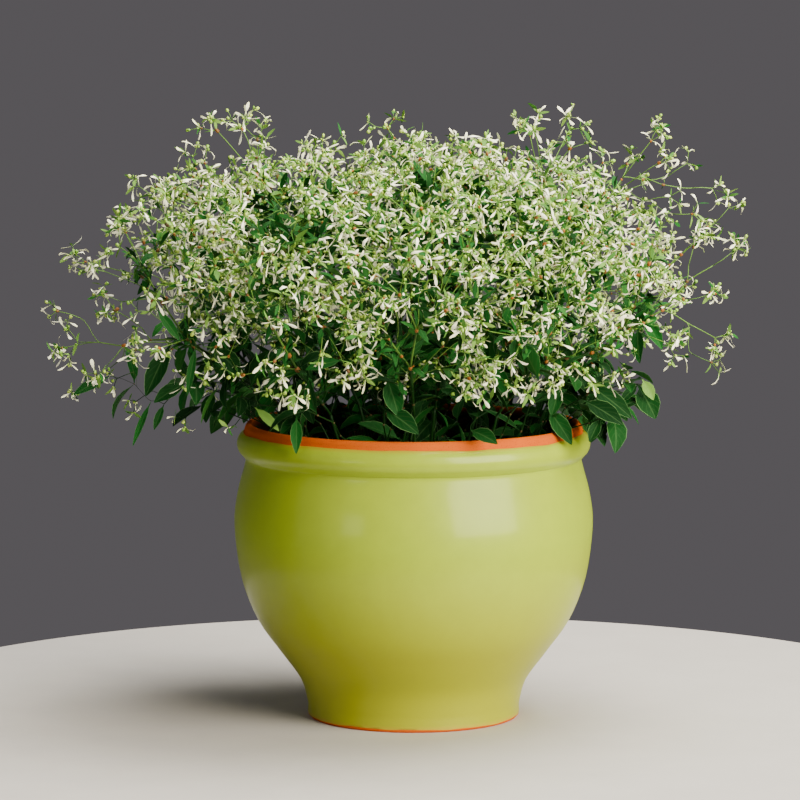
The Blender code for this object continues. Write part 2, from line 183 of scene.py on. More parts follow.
def skin(rings, ends):
    """Closed bodies, one a row: rings of points, each round the body, and a point at each end of it.

    Returns all their points and triangles. Rings are (rows, rings, points, 3), ends are (rows, 2, 3)."""
    rows, count, around = rings.shape[:3]
    index = np.arange(count * around).reshape(count, around)
    turn = np.roll(index, -1, axis=1)
    start, end = count * around, count * around + 1
    parts = [
        np.stack([index[:-1], turn[:-1], turn[1:]], axis=-1),
        np.stack([index[:-1], turn[1:], index[1:]], axis=-1),
        np.stack([np.full(around, start), turn[0], index[0]], axis=-1)[None],
        np.stack([np.full(around, end), index[-1], turn[-1]], axis=-1)[None],
    ]
    one = np.concatenate([part.reshape(-1, 3) for part in parts])
    points = np.concatenate([rings.reshape(rows, -1, 3), ends], axis=1)
    triangles = one[None] + (np.arange(rows) * points.shape[1])[:, None, None]
    return points.reshape(-1, 3), triangles.reshape(-1, 3)


def add_piece(name, skins, material, slot, replaced=(), sharp=None, **attributes):
    """One piece from the points and triangles of several skins. An attribute has a value for each point."""
    points = np.concatenate([part[0] for part in skins])
    offsets = np.cumsum([0] + [len(part[0]) for part in skins[:-1]])
    triangles = np.concatenate([part[1] + offset for part, offset in zip(skins, offsets)])
    mesh = bpy.data.meshes.new(name)
    mesh.vertices.add(len(points))
    mesh.vertices.foreach_set("co", points.astype(np.float32).ravel())
    mesh.loops.add(triangles.size)
    mesh.loops.foreach_set("vertex_index", triangles.astype(np.int32).ravel())
    mesh.polygons.add(len(triangles))
    mesh.polygons.foreach_set("loop_start", np.arange(0, triangles.size, 3, dtype=np.int32))
    mesh.update(calc_edges=True)
    mesh.shade_smooth()
    if sharp:
        mesh.set_sharp_from_angle(angle=sharp)
    for attribute, values in attributes.items():
        kind, field = ("FLOAT", "value") if values.ndim == 1 else ("FLOAT_VECTOR", "vector")
        layer = mesh.attributes.new(attribute, kind, "POINT")
        layer.data.foreach_set(field, values.astype(np.float32).ravel())
    piece = bpy.data.objects.new(name, mesh)
    bpy.context.scene.collection.objects.link(piece)
    mesh.materials.append(material)
    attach(piece, "root")
    if replaced:
        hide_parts(*replaced)


def turned(outline, sides, waver=None):
    """Rings of points, in metres, turned round Z from an outline of (radius, height) in millimetres.

    Waver says how far a point of the outline moves up at each angle."""
    angles = np.arange(sides) * math.tau / sides
    rings = np.zeros((1, len(outline), sides, 3))
    for k, (radius, height) in enumerate(outline):
        rings[0, k, :, 0] = radius * np.cos(angles)
        rings[0, k, :, 1] = radius * np.sin(angles)
        rings[0, k, :, 2] = height + (waver(k, angles) if waver else 0)
    return rings * MM


# Red earthenware, turned: matt, an even warm orange with darker grog specks and fine turning lines. Inside it
# is
# nearly black brown: partly clay darkened by the damp soil, and partly painted shade in the pot's inside
TERRACOTTA_LIT = "#C45800"
TERRACOTTA_DEEP = "#B04A00"
TERRACOTTA_DAMP_AND_SHADE = "#22100A"
CLAY_CLOUD = 14  # mm
GROG = "#8A3C08"
GROG_SIZE = 0.9  # mm, coarser than real grog so that it shows
TURNING_LINE = 2.2  # mm apart
LINE_DEPTH = 0.2 * MM
WAVE_LENGTH = math.tau / 20  # of a wave texture whose scale is 1
terracotta, tree = new_material("wheel-turned red earthenware")
place = add_node(tree, "TexCoord").outputs["Object"]
cloud = add_node(tree, "TexNoise", {"Vector": place, "Scale": 1000 / CLAY_CLOUD, "Detail": 4})
grains = add_node(tree, "TexVoronoi", {"Vector": place, "Scale": 1000 / GROG_SIZE})
specks = add_node(
    tree, "MapRange", {"Value": grains, "From Min": 0.12, "From Max": 0.3, "To Min": 0.6, "To Max": 0.0},
)
damp = add_node(tree, "Attribute", attribute_name="damp").outputs["Fac"]
clay = TERRACOTTA_LIT
for share, colour in ((cloud, TERRACOTTA_DEEP), (specks, GROG), (damp, TERRACOTTA_DAMP_AND_SHADE)):
    clay = add_node(tree, "Mix", {"Factor": share, "A": clay, "B": colour}, data_type="RGBA")
lines = add_node(
    tree, "TexWave",
    {"Vector": place, "Scale": WAVE_LENGTH / (TURNING_LINE * MM), "Distortion": 1.5}, bands_direction="Z",
)
relief = add_node(tree, "Bump", {"Height": lines.outputs["Fac"], "Strength": 0.25, "Distance": LINE_DEPTH})
shader = add_node(
    tree, "BsdfPrincipled",
    {"Base Color": clay, "Roughness": 0.85, "Specular IOR Level": 0.12, "Normal": relief},
)
add_node(tree, "OutputMaterial", {"Surface": shader})

wall = smooth_curve(WALL + ROLL, WALL_STEPS)
inside = [
    (radius - WALL_THICKNESS, height) for radius, height in wall
    if POT_FLOOR + CORNER_UP < height <= NECK_HEIGHT
]
foot = [(AXIS, FOOT_HOLLOW)] + [(FOOT_RADIUS + beyond, height) for beyond, height in FOOT_RING]
bowl = inside[::-1] + [(inside[0][0] - CORNER_ACROSS, POT_FLOOR), (AXIS, POT_FLOOR)]
outline = foot + wall + LIP + INNER_LIP + bowl
# the inside and the inner lip are darkened, partly as damp clay and partly as painted shade
dampness = [0.0] * len(foot + wall + LIP) + INNER_LIP_DAMP_AND_SHADE + [1.0] * len(bowl)
ends = np.array([[[0, 0, FOOT_HOLLOW], [0, 0, POT_FLOOR]]]) * MM
add_piece(
    "pot_clay", [skin(turned(outline, POT_SIDES), ends)], terracotta, "bare_terracotta", ["pot"],
    sharp=math.radians(50), damp=np.concatenate([np.repeat(dampness, POT_SIDES), [0, 1]]),
)

# The pot's glaze: a glassy coat a third of a millimetre thick, dipped and fired on. It stops short of the
# foot's edge and of the lip, where its border wavers a little and ends in a soft bead.
GLAZE_THICKNESS = 0.35
GLAZE_FOOT = 1.4  # mm above the ground
GLAZE_TOP = 143.8
LOWER_BORDER = [(FOOT_RADIUS, GLAZE_FOOT), (FOOT_RADIUS, 2.6)]
UPPER_BORDER = [(84.8, GLAZE_TOP)]
GLAZE_SUNK = 0.5  # its back lies this far inside the clay
BEAD_THIN = 0.1  # this share of its thickness is left at its borders
BEAD_POINTS = 2  # from a border it takes this many points of the outline to grow thick
WAVES = [(3, 1, 0.2), (11, 0, 0.12), (23, 2, 0.08)]  # waves round the pot, where they start, and mm
WAVER_POINTS = 3
GLAZE_LIT = "#9AAF1C"
GLAZE_DEEP = "#8CA01C"
GLAZE_LOW_AND_REFLECTION = "#8A8A00"
GLAZE_THIN = "#A58A22"
LOW_REFLECTION_FROM = 38 * MM  # it is olive below this, partly its own colour and partly a painted warm reflection from below, and fades to its common colour up to the next
LOW_REFLECTION_TO = 95 * MM


def waver(k, angles):
    """How far the glaze's border runs up or down at each angle: only its two ends move."""
    wave = sum(np.sin(waves * angles + start) * height for waves, start, height in WAVES)
    near_end = max(0.0, 1 - k / WAVER_POINTS, 1 - (glaze_points - 1 - k) / WAVER_POINTS)
    return wave * near_end if k < glaze_points else 0


outer = LOWER_BORDER + [(radius, height) for radius, height in wall if height < GLAZE_TOP] + UPPER_BORDER
glaze_points = len(outer)
front = []
for k, (radius, height) in enumerate(outer):
    from_border = min(k, glaze_points - 1 - k)
    front.append((radius + GLAZE_THICKNESS * min(1, BEAD_THIN + from_border / BEAD_POINTS), height))
back = [(radius - GLAZE_SUNK, height) for radius, height in outer]
loop = front + back[::-1]
points = turned(loop, POT_SIDES, waver).reshape(-1, 3)
# The coat has no ends: its outline closes on itself, and so does each ring round the pot
index = np.arange(len(loop) * POT_SIDES).reshape(len(loop), POT_SIDES)
right, up = np.roll(index, -1, axis=1), np.roll(index, -1, axis=0)
corner = np.roll(up, -1, axis=1)
triangles = np.stack([
    np.stack([index, right, corner], axis=-1), np.stack([index, corner, up], axis=-1),
]).reshape(-1, 3)

# Lead-free earthenware glaze: yellow-green, satin gloss, slightly cloudy, olive low down, partly its own
# colour and partly a painted warm reflection from below, and thinner and browner at its borders
CLOUD = 9.0  # mm
ORANGE_PEEL = 1.6  # mm
PEEL_DEPTH = 0.1 * MM
TOP_FADE = 1.6  # mm from its upper border to where its colour is full
FOOT_FADE = 2  # and from its lower border
glaze, tree = new_material("dipped yellow-green glaze")
place = add_node(tree, "TexCoord").outputs["Object"]
height = add_node(tree, "SeparateXYZ", {"Vector": place}).outputs["Z"]
cloud = add_node(tree, "TexNoise", {"Vector": place, "Scale": 1000 / CLOUD, "Detail": 5, "Roughness": 0.6})
# the olive low down is partly the glaze's colour and partly a painted warm reflection from below
top_thin, foot_thin, lowness = (
    add_node(
        tree, "MapRange",
        {"Value": height, "From Min": low, "From Max": high, "To Min": at_low, "To Max": at_high},
    )
    for low, high, at_low, at_high in (
        ((GLAZE_TOP - TOP_FADE) * MM, GLAZE_TOP * MM, 0, 0.7),
        (GLAZE_FOOT * MM, (GLAZE_FOOT + FOOT_FADE) * MM, 0.7, 0),
        (LOW_REFLECTION_FROM, LOW_REFLECTION_TO, 0.85, 0),
    )
)
thin = add_node(tree, "Math", {0: top_thin, 1: foot_thin}, operation="MAXIMUM")
coat = GLAZE_LIT
for share, colour in ((cloud, GLAZE_DEEP), (lowness, GLAZE_LOW_AND_REFLECTION), (thin, GLAZE_THIN)):
    coat = add_node(tree, "Mix", {"Factor": share, "A": coat, "B": colour}, data_type="RGBA")
peel = add_node(tree, "TexNoise", {"Vector": place, "Scale": 1000 / ORANGE_PEEL, "Detail": 1})
swell = add_node(tree, "Bump", {"Height": peel, "Strength": 0.12, "Distance": PEEL_DEPTH})
shader = add_node(
    tree, "BsdfPrincipled",
    {
        "Base Color": coat, "Roughness": 0.42, "IOR": 1.5, "Normal": swell, "Specular IOR Level": 0.2,
        "Coat Weight": 0.22, "Coat Roughness": 0.15,
    },
)
add_node(tree, "OutputMaterial", {"Surface": shader})
add_piece("pot_glaze", [(points, triangles)], glaze, "yellow_green_glaze", sharp=math.radians(60))

# The potting soil: moist peat with bark crumbs and a few pale grains of perlite, filled to a finger's width
# below the rim and uneven where it was pressed round the stems.
SOIL_TOP = 124.0
SOIL_RADIUS = 78.4
SOIL_GAP_SIDE, SOIL_GAP_UNDER = 0.5, 0.4  # between it and the pot
SOIL_SIDES = 96
SOIL_RINGS = 22
SOIL_UNEVEN = 1.6  # mm
SOIL_EDGE_LOWER = 2.5  # mm that it lies lower at the pot's wall
SOIL_SKIN = 6  # mm from its top to the first ring of points down its side
GRAINS_IN = 3  # mm from its edge to the outermost grains
CRUMBS = 760
PERLITE = 70


def soil_height(x, y, share):
    """The height of the soil's surface at a place, and at this share of the way out, in millimetres."""
    unevenness = (
        0.5 * np.sin(x * 0.11 + 1.3) * np.cos(y * 0.13) + 0.3 * np.sin(x * 0.31 - y * 0.27)
        + 0.2 * np.sin(x * 0.71 + y * 0.63)
    )
    return SOIL_TOP + SOIL_UNEVEN * unevenness - SOIL_EDGE_LOWER * share**6


def lumps(places, ways, lengths, radii, around, lobes=0.0, rings=3, draw=None):
    """Round or egg-shaped bodies along their ways. With lobes they have three, as a seed capsule has."""
    ways = ways / np.linalg.norm(ways, axis=1, keepdims=True)
    side = np.cross(ways, np.where(np.abs(ways[:, 2:]) < 0.9, [[0, 0, 1]], [[1, 0, 0]]))
    side /= np.linalg.norm(side, axis=1, keepdims=True)
    other = np.cross(ways, side)
    polar = np.pi * (np.arange(rings) + 1) / (rings + 1)
    angle = np.arange(around) * math.tau / around
    lobed = 1 + lobes * np.cos(3 * angle)
    breadth = radii[:, None, None] * np.sin(polar)[None, :, None] * lobed[None, None, :]
    if draw is not None:
        breadth = breadth * draw.uniform(0.7, 1.25, breadth.shape)
    along = -np.cos(polar)[None, :] * lengths[:, None] / 2
    points = places[:, None, None, :] + ways[:, None, None, :] * along[:, :, None, None]
    points = points + side[:, None, None, :] * (breadth * np.cos(angle))[..., None]
    points = points + other[:, None, None, :] * (breadth * np.sin(angle))[..., None]
    to_ends = np.array([-0.5, 0.5])[None, :] * lengths[:, None]
    return skin(points, places[:, None, :] + ways[:, None, :] * to_ends[..., None])


def loose_grains(count, seed, lengths, radii, sides, draw):
    """Rough grains that lie on the soil, their lengths and radii drawn from ranges in millimetres."""
    strewn = np.random.default_rng(seed)
    out, angle = (SOIL_RADIUS - GRAINS_IN) * np.sqrt(strewn.random(count)), strewn.random(count) * math.tau
    x, y = out * np.cos(angle), out * np.sin(angle)
    return lumps(
        np.stack([x, y, soil_height(x, y, out / SOIL_RADIUS)], axis=1) * MM, draw.normal(size=(count, 3)),
        draw.uniform(*lengths, count) * MM, draw.uniform(*radii, count) * MM, sides, draw=draw,
    )


# Peat and bark: nearly black brown, matt, in clods of a few millimetres
PEAT_DARK = "#160F0B"
BARK_BROWN = "#3A281C"
CLOD_SIZE = 3  # mm
CLOD_DEPTH = 1 * MM
soil, tree = new_material("moist peat and bark")
place = add_node(tree, "TexCoord").outputs["Object"]
clods = add_node(
    tree, "TexNoise", {"Vector": place, "Scale": 1000 / CLOD_SIZE, "Detail": 6, "Roughness": 0.7},
)
peat = add_node(tree, "Mix", {"Factor": clods, "A": PEAT_DARK, "B": BARK_BROWN}, data_type="RGBA")
relief = add_node(tree, "Bump", {"Height": clods, "Strength": 0.8, "Distance": CLOD_DEPTH})
shader = add_node(tree, "BsdfPrincipled", {"Base Color": peat, "Roughness": 0.95, "Normal": relief})
add_node(tree, "OutputMaterial", {"Surface": shader})

# Perlite: popped volcanic glass, white and chalky, with a little peat stuck to it
PERLITE_WHITE = "#D8D4CA"
PERLITE_DIRTY = "#8A765E"
DIRT_SIZE = 1.5  # mm
perlite, tree = new_material("popped perlite grain")
place = add_node(tree, "TexCoord").outputs["Object"]
dirt = add_node(tree, "TexNoise", {"Vector": place, "Scale": 1000 / DIRT_SIZE, "Detail": 3})
chalk = add_node(tree, "Mix", {"Factor": dirt, "A": PERLITE_WHITE, "B": PERLITE_DIRTY}, data_type="RGBA")
shader = add_node(tree, "BsdfPrincipled", {"Base Color": chalk, "Roughness": 0.9})
add_node(tree, "OutputMaterial", {"Surface": shader})

steps = np.linspace(0, 1, SOIL_RINGS + 1)[1:, None]
angles = np.arange(SOIL_SIDES) * math.tau / SOIL_SIDES
x, y = SOIL_RADIUS * steps * np.cos(angles), SOIL_RADIUS * steps * np.sin(angles)
surface = np.stack([x, y, soil_height(x, y, steps)], axis=-1)[None] * MM
soil_floor = POT_FLOOR + SOIL_GAP_UNDER
below = [(radius - SOIL_GAP_SIDE, height) for radius, height in inside[::-1] if height < SOIL_TOP - SOIL_SKIN]
below += [(inside[0][0] - CORNER_ACROSS - SOIL_GAP_SIDE, soil_floor)]
rings = np.concatenate([surface, turned(below, SOIL_SIDES)], axis=1)
ends = np.array([[[0, 0, soil_height(0, 0, 0)], [0, 0, soil_floor]]]) * MM
points, triangles = skin(rings, ends)
ground = (points, triangles[:, ::-1])  # these rings run down, not up, so each triangle is turned over
spread = np.random.default_rng(12)
crumbs = loose_grains(CRUMBS, 13, (2, 5), (0.7, 1.8), 5, spread)
add_piece("soil_surface", [ground, crumbs], soil, "potting_soil", ["potting_soil"])
grains = loose_grains(PERLITE, 14, (1.5, 3), (0.6, 1.3), 6, spread)
add_piece("soil_perlite", [grains], perlite, "potting_soil")

# How the plant grows: one stem in the middle, a ring of 5 round it and a ring of 10 outside, each in a sector
# of its own. A stem forks in two towards the tips in its sector, which fill the shell of an uneven dome, and
# smaller sprays fill the crown between those tips.
DOME_CENTRE = Vector((0, 0, 226)) * MM
DOME_LEFT = 158 * MM
DOME_RIGHT = 142 * MM
DOME_DEPTH = 142 * MM
DOME_UP = 72 * MM
DOME_DOWN = 84 * MM
SHELL = (0.68, 1.0)
LOWEST_FLORET = 168 * MM
FLORETS_IN_DOME = 188
CANDIDATES = 5000
CROWN_SEED = 4
LONG_SPRAYS = [
    (-98, -26, 296), (-84, -14, 302), (-14, 12, 303), (56, -16, 302), (80, 30, 296), (119, -12, 292),
    (133, -30, 284), (160, 0, 268), (166, -26, 240), (158, 18, 212), (158, -24, 188), (-166, 12, 228),
    (-174, -16, 192), (-152, -46, 178), (-92, -48, 143), (30, 148, 262), (-60, 150, 214), (88, 128, 190),
    (20, -156, 214), (-44, -146, 252),
]
SECTOR_APEX = Vector((0, 0, 90)) * MM
INNER_STEMS = 5
OUTER_STEMS = 10
INNER_ELEVATION = math.radians(67)
OUTER_ELEVATION = math.radians(37)
OUTER_TURN = math.radians(18)
INNER_ROOT = 20 * MM
OUTER_ROOT = 50 * MM
INNER_COLLAR = 33 * MM
OUTER_COLLAR = 69 * MM
COLLAR_HEIGHT = 158 * MM
HOLE_DEPTH = 13.7 * MM
FLORET_ROOM = 14.5 * MM
FORK_AT = 0.42
FORK_SPREAD = 0.7
SHORTEST_BRANCH = 6 * MM
NEAR_TIP = 14 * MM
NO_ROOM = 2 * MM
CROWN_OUTLINE = [  # height, and how far the crown reaches there to the left and to the right, in millimetres
    (160, 64, 60), (168, 96, 84), (184, 130, 134), (204, 138, 146), (235, 154, 146), (262, 152, 130),
    (275, 136, 112), (286, 92, 82), (294, 44, 46), (301, 8, 8),
]
CROWN_MIDDLE = np.array([0, 0, 215])
CROWN_HEART = 0.66  # the inner part of the crown, which holds no sprays, as a share of its size
CROWN_BOX = ((-180, -170, 166), (180, 170, 304))
SHADE = (72, 196)  # no spray is nearer to the axis than this while it is lower than this
FILLER_CANDIDATES = 30000
FILLERS = 530


def from_polar(azimuth, elevation):
    """A direction from how far round and how high it points, in radians."""
    flat = math.cos(elevation)
    return Vector((flat * math.cos(azimuth), flat * math.sin(azimuth), math.sin(elevation)))


def kept_inside(point, walls, margin):
    """The point moved into its sector until it is the margin away from every wall."""
    for _ in range(6):
        for wall in walls:
            over = (point - SECTOR_APEX).dot(wall) + margin
            if over > 0:
                point = point - wall * over
    return point


def share_of_dome(point):
    """How far out a point is, as a share of the way from the dome's centre to its surface."""
    away = Vector(point) - DOME_CENTRE
    across = DOME_LEFT if away.x < 0 else DOME_RIGHT
    height = DOME_UP if away.z > 0 else DOME_DOWN
    return math.sqrt((away.x / across) ** 2 + (away.y / DOME_DEPTH) ** 2 + (away.z / height) ** 2)


def spread_out(pool, taken, count):
    """Places from a pool, each as far as can be from those that are taken and those before it."""
    nearest = np.min([np.linalg.norm(pool - np.array(place), axis=1) for place in taken], axis=0)
    places = []
    for _ in range(count):
        place = pool[int(nearest.argmax())]
        places.append(Vector(place))
        nearest = np.minimum(nearest, np.linalg.norm(pool - place, axis=1))
    return places


def floret_places():
    """The tips of the long sprays, and places spread evenly through the dome's shell."""
    draw = random.Random(CROWN_SEED)
    pool = []
    while len(pool) < CANDIDATES:
        point = Vector((
            draw.uniform(-DOME_LEFT, DOME_RIGHT), draw.uniform(-DOME_DEPTH, DOME_DEPTH),
            draw.uniform(LOWEST_FLORET, DOME_CENTRE.z + DOME_UP),
        ))
        if SHELL[0] < share_of_dome(point) < SHELL[1]:
            pool.append(point)
    long_sprays = [Vector(tip) * MM for tip in LONG_SPRAYS]
    return long_sprays + spread_out(np.array(pool), long_sprays, FLORETS_IN_DOME)


def in_crown(points):
    """Which of the points, in millimetres, lie inside the crown's outline."""
    heights, lefts, rights = np.array(CROWN_OUTLINE).T
    left = np.interp(points[:, 2], heights, lefts, 0.01, 0.01)
    right = np.interp(points[:, 2], heights, rights, 0.01, 0.01)
    across = np.where(points[:, 0] < 0, left, right)
    return (points[:, 0] / across) ** 2 + (points[:, 1] * 2 / (left + right)) ** 2 < 1


def filler_places(tips):
    """Places in the outer part of the crown, between the tips."""
    pool = np.random.default_rng(CROWN_SEED + 1).uniform(*CROWN_BOX, (FILLER_CANDIDATES, 3))
    outer = ~in_crown(CROWN_MIDDLE + (pool - CROWN_MIDDLE) / CROWN_HEART)
    shaded = (np.hypot(pool[:, 0], pool[:, 1]) < SHADE[0]) & (pool[:, 2] < SHADE[1])
    return spread_out(pool[in_crown(pool) & outer & ~shaded] * MM, tips, FILLERS)


def halves(tips):
    """Tips split in two across the line on which they spread the most."""
    spread = np.array(tips) - np.mean(tips, axis=0)
    line = np.linalg.svd(spread)[2][0]
    line = line * (1 if line[int(np.abs(line).argmax())] > 0 else -1)
    order = [tips[k] for k in np.argsort(spread @ line, kind="stable")]
    return order[: len(order) // 2], order[len(order) // 2 :]


def grow(start, tips):
    """A stem's growth from a place to these tips: it forks in two until each branch has one tip."""
    centre = sum(tips, Vector()) / len(tips)
    way = (centre - start).normalized()
    reaches = []
    for tip in tips:
        ahead = (tip - start).dot(way)
        aside = (tip - start - way * ahead).length
        reaches.append(ahead - FORK_SPREAD * aside)
    nearest = reaches.index(min(reaches))
    others = tips[:nearest] + tips[nearest + 1 :]
    if not others:
        return {"place": tips[0], "way": way, "tips": 1, "branches": []}
    if reaches[nearest] < NO_ROOM:
        return grow(start, others)
    fork = start + way * max(SHORTEST_BRANCH, min(reaches[nearest], FORK_AT * (centre - start).length))
    groups = ([tips[nearest]], others) if reaches[nearest] < NEAR_TIP else halves(tips)
    branches = [grow(fork, group) for group in groups]
    tip_count = sum(branch["tips"] for branch in branches)
    return {"place": fork, "way": way, "tips": tip_count, "branches": branches}


directions = [Vector((0, 0, 1))]
for many, turn, elevation in ((INNER_STEMS, 0, INNER_ELEVATION), (OUTER_STEMS, OUTER_TURN, OUTER_ELEVATION)):
    directions += [from_polar(math.tau * k / many + turn, elevation) for k in range(many)]
tips_of = [[] for _ in directions]
fillers_of = [[] for _ in directions]
own_tips = floret_places()
for places, lists in ((own_tips, tips_of), (filler_places(own_tips), fillers_of)):
    for place in places:
        towards = place - SECTOR_APEX
        lists[max(range(len(directions)), key=lambda k: towards.dot(directions[k]))].append(place)
stems = []
for sector, direction in enumerate(directions):
    walls = [(other - direction).normalized() for k, other in enumerate(directions) if k != sector]
    outward = Vector((direction.x, direction.y, 0)).normalized()
    is_outer = sector > INNER_STEMS
    root = outward * (OUTER_ROOT if is_outer else INNER_ROOT if sector else 0)
    collar = outward * (OUTER_COLLAR if is_outer else INNER_COLLAR if sector else 0)
    foot = root + Vector((0, 0, SOIL_TOP * MM - HOLE_DEPTH))
    collar = collar + Vector((0, 0, COLLAR_HEIGHT))
    tips = [kept_inside(tip, walls, FLORET_ROOM) for tip in tips_of[sector]]
    stems.append({
        "name": f"euphorbia_stem_{sector + 1:02d}", "foot": foot, "collar": collar, "walls": walls,
        "growth": grow(collar, tips), "outward": outward, "is_outer": is_outer, "fillers": fillers_of[sector],
        "twigs": [], "stalks": [], "joints": [], "leaves": [], "leaflets": [], "bracts": [],
        "capsules": [], "buds": [], "perches": [],  # a perch is a place that a smaller twig can fork from
    })

# The stems: thin, green and springy, a little zigzag from joint to joint, where they carry opposite leaves
# low down and pairs of white bracts higher up. Out at the tips they fork every few millimetres.
TWIG_RADIUS = 0.29
STEM_GROWTH = 0.36  # how fast a stem's radius grows with the number of its tips
FILLER_RADIUS = 0.27 * MM
THICK_FROM = 0.4 * MM  # thinner twigs have fewer sides
LONG_SHARES = np.array([0, 0.12, 0.34, 0.62, 0.86, 1])
SHORT_SHARES = np.array([0, 0.5, 1])
LONG_TWIG = 13 * MM
JOINT_SPACING = 19 * MM
TIP_SPACING = 16 * MM
FILLER_SPACING = 15 * MM
SIDE_SPACING = 13 * MM
FOOT_SPACING = 24 * MM
CYME_JOINTS = [13.0, 6.8, 4.6]
CYME_RADII = [0.24, 0.2, 0.17]
ONE_SIDED = 0.22  # this share of a spray's forks has lost one of its two branches
CYME_REACH = 26 * MM  # from a spray's first joint to its furthest bracts
FORK_ANGLE = math.radians(44)
FEW_BRACTS, TOP_BRACTS, MOST_BRACTS = 0.4, 0.76, 0.94  # shares with bracts of first, high and other joints
BRACT_LENGTH = (5.6, 9.4)  # mm
BRACT_WIDTH = (1.0, 1.85)
BRACTS_DROOP_FROM, DROOP_GROWS = 300 * MM, 120 * MM  # from this height down, over this length, they bend
CAPSULE_SHARE, LEAFLET_SHARE, JOINT_SHARE = 0.7, 0.75, 0.4  # of a spray's joints that have them
LEAFLET_LENGTH = (3, 7.5)
CAPSULE_LENGTH, CAPSULE_RADIUS = (1.6, 2.5), (0.7, 1.05)
BUD_LENGTH, BUD_RADIUS = (1.0, 2.0), (0.35, 0.62)
LOW_LEAF, HIGH_LEAF = 27, 16  # mm, the leaves on a stem near the dome's centre, below and above the next
HIGH_FROM = 215 * MM
YOUNG_FROM, YOUNG_RISE = 205 * MM, 70 * MM  # leaves get fresher from the first height over the second
SHADED_LEAVES_FROM, SHADED_LEAVES_BELOW = 70 * MM, 190 * MM  # painted shade: the lowest leaves on the right are darker
LIFTED_FROM = -60 * MM  # from here to the right the lowest sprays turn up to the light
LIFTED_BELOW = 180 * MM
LIFT = 0.2
# Thin shoots round a stem's foot: at the front, at the back, elsewhere in the outer ring and inside it
FRONT_SHOOTS = 2
BACK_SHOOTS = 12
OUTER_SHOOTS = 8
INNER_SHOOTS = 5
SHADED_BELOW = 178 * MM  # joints lower than this are small, and olive brown as painted shade
LEAFY_BELOW = 184 * MM  # joints lower than this bear leaves alone
LEAVES_FROM_SHADE = 168 * MM  # the lower part of the stems inside the pot has lost most of its leaves
THINNED_FROM = 256 * MM  # at the top of the crown more of the bracts have fallen
STRAGGLERS_FROM = 122 * MM  # from here to the right the sprays are single and small
INNER_SHARE, OUTER_SHARE = 0.66, 0.84  # of the dome: up to the first only leaves, from the second on bracts
FORK_LEAVES_SHARE = 0.75  # forks within this share of the dome have leaves
INNER_LEAVES_IN = (0.15, 0.9)  # shares of the dome between which twigs have small leaves
INNER_LEAVES_FROM = 170 * MM  # and the height from which they have them
DEEP_SHARE = 0.64  # the small leaves within this share are larger
FRESH_SHARE = 0.74  # and those beyond this are fresher towards the top
POT_OUTSIDE, LIP_ABOVE = 92 * MM, 151.5 * MM  # a leaf is clear of the pot beyond this radius or height
POT_INSIDE, SOIL_ABOVE = 75 * MM, 128 * MM  # or within this radius and above this height
OPENING_SIDES = (-70 * MM, 78 * MM)  # the gap at the front, where one looks in between the stems
OPENING_FRONT, OPENING_TOP = -48 * MM, 176 * MM
TURN_COST, TOO_NEAR, TOO_NEAR_COST = 30 * MM, 7 * MM, 0.2  # for where a twig to a place can fork from
FILLER_ROOM = 5 * MM  # from a small spray's tip to the edge of its sector
UP = np.array([0, 0, 1.0])


def unit(vector):
    """The vector brought to a length of 1."""
    return vector / max(1e-9, np.linalg.norm(vector))


def square_to(way, rough):
    """The part of a rough direction that is square to the way, as a unit vector."""
    return unit(rough - way * np.dot(rough, way))


def scatter(draw):
    """A direction drawn at random."""
    return unit(np.array([draw.gauss(0, 1) for _ in range(3)]))


def sweep(shares, a, b, way_a, way_b):
    """Points at these shares of a smooth line from a to b that leaves and arrives along the given ways."""
    t, reach = shares[:, None], np.linalg.norm(b - a)
    return (
        (2 * t**3 - 3 * t**2 + 1) * a + (t**3 - 2 * t**2 + t) * reach * way_a
        + (3 * t**2 - 2 * t**3) * b + (t**3 - t**2) * reach * way_b
    )


def add_twig(stem, a, b, way_a, way_b, radius_a, radius_b):
    """A smooth length of stem from a to b. Returns its points."""
    shares = LONG_SHARES if np.linalg.norm(b - a) > LONG_TWIG else SHORT_SHARES
    points = sweep(shares, a, b, way_a, way_b)
    stem["twigs"].append((points, radius_a + (radius_b - radius_a) * shares))
    return points


def add_joint(stem, place, way, radius, draw):
    """A slightly swollen joint, smaller low down, and there olive brown as painted shade."""
    is_shaded = place[2] < SHADED_BELOW
    swelling = draw.uniform(0.5, 2.6) * (0.25 if is_shaded else 1) * MM
    # painted shade: a low joint takes the full dark olive
    tone = 1.0 if is_shaded else draw.random()
    stem["joints"].append((place, way, radius * 2.4 + swelling, radius * 1.2 + 0.3 * swelling, tone))


def clears_pot(point):
    """Whether a point is outside the pot's rim, or above it, or well inside it and above the soil."""
    radius = math.hypot(point[0], point[1])
    return radius > POT_OUTSIDE or point[2] > LIP_ABOVE or (radius < POT_INSIDE and point[2] > SOIL_ABOVE)


def is_in_opening(point):
    """Whether a point is in the gap at the front, low down."""
    across = OPENING_SIDES[0] < point[0] < OPENING_SIDES[1]
    return across and point[1] < OPENING_FRONT and point[2] < OPENING_TOP


def youth_at(place):
    """How young the leaves at a place are, from 0 low down to 1 at the top of the crown."""
    return min(1, max(0, (place[2] - YOUNG_FROM) / YOUNG_RISE))


